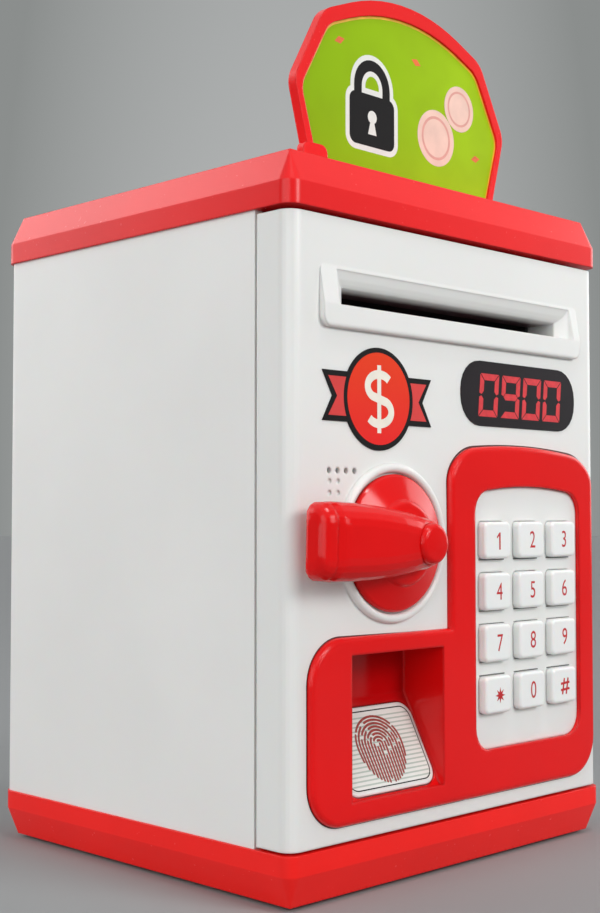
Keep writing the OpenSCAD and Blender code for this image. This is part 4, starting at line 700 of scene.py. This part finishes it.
def sign_art():
    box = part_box("sign_label")
    where = plane((0, box[0].y, box[0].z), *FRONT)
    rim = [(p.x / MM, (p.z - box[0].z) / MM) for p in front_outline(NODES["sign_label"])]
    printed("sign_edge", "cabinet", where, [grown(rim, -EDGE_OUT), grown(rim, -EDGE_IN)], edge_yellow)
    printed("sign_lock_edge", "cabinet", where, [box_loop(*LOCK_EDGE)], paper_white)
    printed("sign_hoop_edge", "cabinet", where, [stroke(HOOP, HOOP_EDGE_T, caps=False)], paper_white,
            lift=0.01)
    printed("sign_lock", "cabinet", where, [box_loop(*LOCK)], ink, lift=0.03)
    printed("sign_hoop", "cabinet", where, [stroke(HOOP, HOOP_T, caps=False)], ink, lift=0.035)
    printed("sign_keyhole", "cabinet", where, [KEYHOLE], paper_white, lift=0.06)
    for i, (x, y, r) in enumerate(COINS):
        printed("sign_coin_%d" % i, "cabinet", where, [ring(x, y, r)], coin_pink, lift=0.02 + 0.04 * i)
        printed("sign_coin_ring_%d" % i, "cabinet", where, [ring(x, y, r * part) for part in COIN_RING],
                coin_rose, lift=0.04 + 0.04 * i)
    for i, (x, y, a) in enumerate(SPARKS):
        c, s = math.cos(math.radians(a)), math.sin(math.radians(a))
        loop = [(x + SPARK_LONG * c * u - SPARK_WIDE * s * v, y + SPARK_LONG * s * u + SPARK_WIDE * c * v)
                for u, v in ((-1, 0), (0, -1), (1, 0), (0, 1))]
        printed("sign_spark_%d" % i, "cabinet", where, [loop], spot_orange)


sign_art()


# Floor, light and camera

FLOOR_SIZE = 12
SUNS = (("front_light", (0.3, -1.0, 0.4), 25, 0.62),
        ("left_light", (-1.0, -0.25, 0.22), 60, 1.84),
        ("right_light", (1.0, -0.15, 0.2), 40, 1.0),
        ("rear_light", (-0.3, 1.0, 0.42), 45, 1.1))
SOFTBOXES = (("near_light", (0.1, -0.6, 0.38), (0, 0, 0.08), (0.2, 0.2), 1.25),
             ("top_light", (-0.1, -0.35, 1.2), (0, 0, 0.15), (0.14, 0.09), 2.2))
EVEN_LIGHT, EVEN_STRENGTH = (226, 228, 232), 0.42
PALE_FROM, PALE_TO = 0.35, 0.85
POOL_MIDDLE, POOL_RIM = (180, 182, 182), (139, 142, 141)
POOL_ACROSS, POOL_UP = 0.215, 0.62
FOCAL_PX, PICTURE_H, SENSOR_MM = 1415.3, 913, 36
EYE_FROM_CORNER = Vector((-245.0, -250.4, 83.4)) * MM
VIEW_YAW, VIEW_PITCH = math.radians(44.79), math.radians(2.45)


def studio():
    floor = finish("floor_paper", (151, 153, 153), rough=0.9, tone=0.0, specular=0.1)
    bpy.ops.mesh.primitive_plane_add(size=FLOOR_SIZE)
    sheet = bpy.context.object
    sheet.name = "floor"
    sheet.data.materials.append(floor)
    room()
    for name, source, spread, strength in SUNS:
        sun(name, source, spread, strength)
    for name, place, aim, size, power in SOFTBOXES:
        softbox(name, place, aim, size, power)


def pool(nodes, links, direction):
    """Backdrop colour, lighter in the middle behind the safe than at its sides."""
    across = Vector((math.cos(VIEW_YAW), -math.sin(VIEW_YAW), 0)) / POOL_ACROSS
    parts = []
    for axis in (across, Vector((0, 0, 1)) / POOL_UP):
        part = nodes.new("ShaderNodeVectorMath")
        part.operation = "DOT_PRODUCT"
        part.inputs[1].default_value = axis
        links.new(direction, part.inputs[0])
        square = nodes.new("ShaderNodeMath")
        square.operation = "MULTIPLY"
        links.new(part.outputs["Value"], square.inputs[0])
        links.new(part.outputs["Value"], square.inputs[1])
        parts.append(square)
    away = nodes.new("ShaderNodeMath")
    away.operation = "ADD"
    away.use_clamp = True
    for k, square in enumerate(parts):
        links.new(square.outputs[0], away.inputs[k])
    return mixed(nodes, links, away.outputs[0], colour(*POOL_MIDDLE), colour(*POOL_RIM))


def room():
    """Even light from all round; camera and reflections see a backdrop that pales overhead instead."""
    world = bpy.data.worlds.new("room")
    bpy.context.scene.world = world
    world.use_nodes = True
    nodes, links = world.node_tree.nodes, world.node_tree.links
    even = nodes["Background"]
    even.inputs["Color"].default_value = colour(*EVEN_LIGHT)
    even.inputs["Strength"].default_value = EVEN_STRENGTH
    backdrop = nodes.new("ShaderNodeBackground")
    place = nodes.new("ShaderNodeTexCoord")
    split = nodes.new("ShaderNodeSeparateXYZ")
    links.new(place.outputs["Generated"], split.inputs["Vector"])
    height = nodes.new("ShaderNodeMapRange")
    height.inputs["From Min"].default_value = PALE_FROM
    height.inputs["From Max"].default_value = PALE_TO
    links.new(split.outputs["Z"], height.inputs["Value"])
    glow = pool(nodes, links, place.outputs["Generated"])
    pale = mixed(nodes, links, height.outputs["Result"], glow, (1, 1, 1, 1))
    links.new(pale, backdrop.inputs["Color"])
    path = nodes.new("ShaderNodeLightPath")
    sight = path.outputs["Is Camera Ray"]
    for ray in ("Is Glossy Ray", "Is Transmission Ray"):
        either = nodes.new("ShaderNodeMath")
        either.operation = "MAXIMUM"
        links.new(sight, either.inputs[0])
        links.new(path.outputs[ray], either.inputs[1])
        sight = either.outputs[0]
    both = nodes.new("ShaderNodeMixShader")
    links.new(sight, both.inputs[0])
    links.new(even.outputs[0], both.inputs[1])
    links.new(backdrop.outputs[0], both.inputs[2])
    links.new(both.outputs[0], nodes["World Output"].inputs["Surface"])


def lamp_at(name, lamp, place, aim):
    holder = bpy.data.objects.new(name, lamp)
    holder.location = place
    holder.rotation_euler = (Vector(aim) - Vector(place)).to_track_quat("-Z", "Y").to_euler()
    bpy.context.scene.collection.objects.link(holder)


def sun(name, source, spread, strength):
    """Soft light from one side that doesn't fade with distance."""
    lamp = bpy.data.lights.new(name, "SUN")
    lamp.angle = math.radians(spread)
    lamp.energy = strength
    lamp_at(name, lamp, source, (0, 0, 0))


def softbox(name, place, aim, size, power):
    lamp = bpy.data.lights.new(name, "AREA")
    lamp.shape = "RECTANGLE"
    lamp.size, lamp.size_y = size
    lamp.energy = power
    lamp_at(name, lamp, place, aim)


def camera():
    """Camera of the photograph, from its solved focal length, place and direction."""
    look = Vector((math.cos(VIEW_PITCH) * math.sin(VIEW_YAW), math.cos(VIEW_PITCH) * math.cos(VIEW_YAW),
                   math.sin(VIEW_PITCH)))
    lens = bpy.data.cameras.new("camera")
    lens.sensor_width = SENSOR_MM
    lens.lens = FOCAL_PX * SENSOR_MM / PICTURE_H
    lens.clip_start = 0.01
    holder = bpy.data.objects.new("camera", lens)
    holder.location = Vector((LEFT_X, FACE_Y, BODY_Z)) + EYE_FROM_CORNER
    holder.rotation_euler = look.to_track_quat("-Z", "Y").to_euler()
    bpy.context.scene.collection.objects.link(holder)
    bpy.context.scene.camera = holder


studio()
camera()
bpy.context.scene.view_settings.view_transform = "Standard"
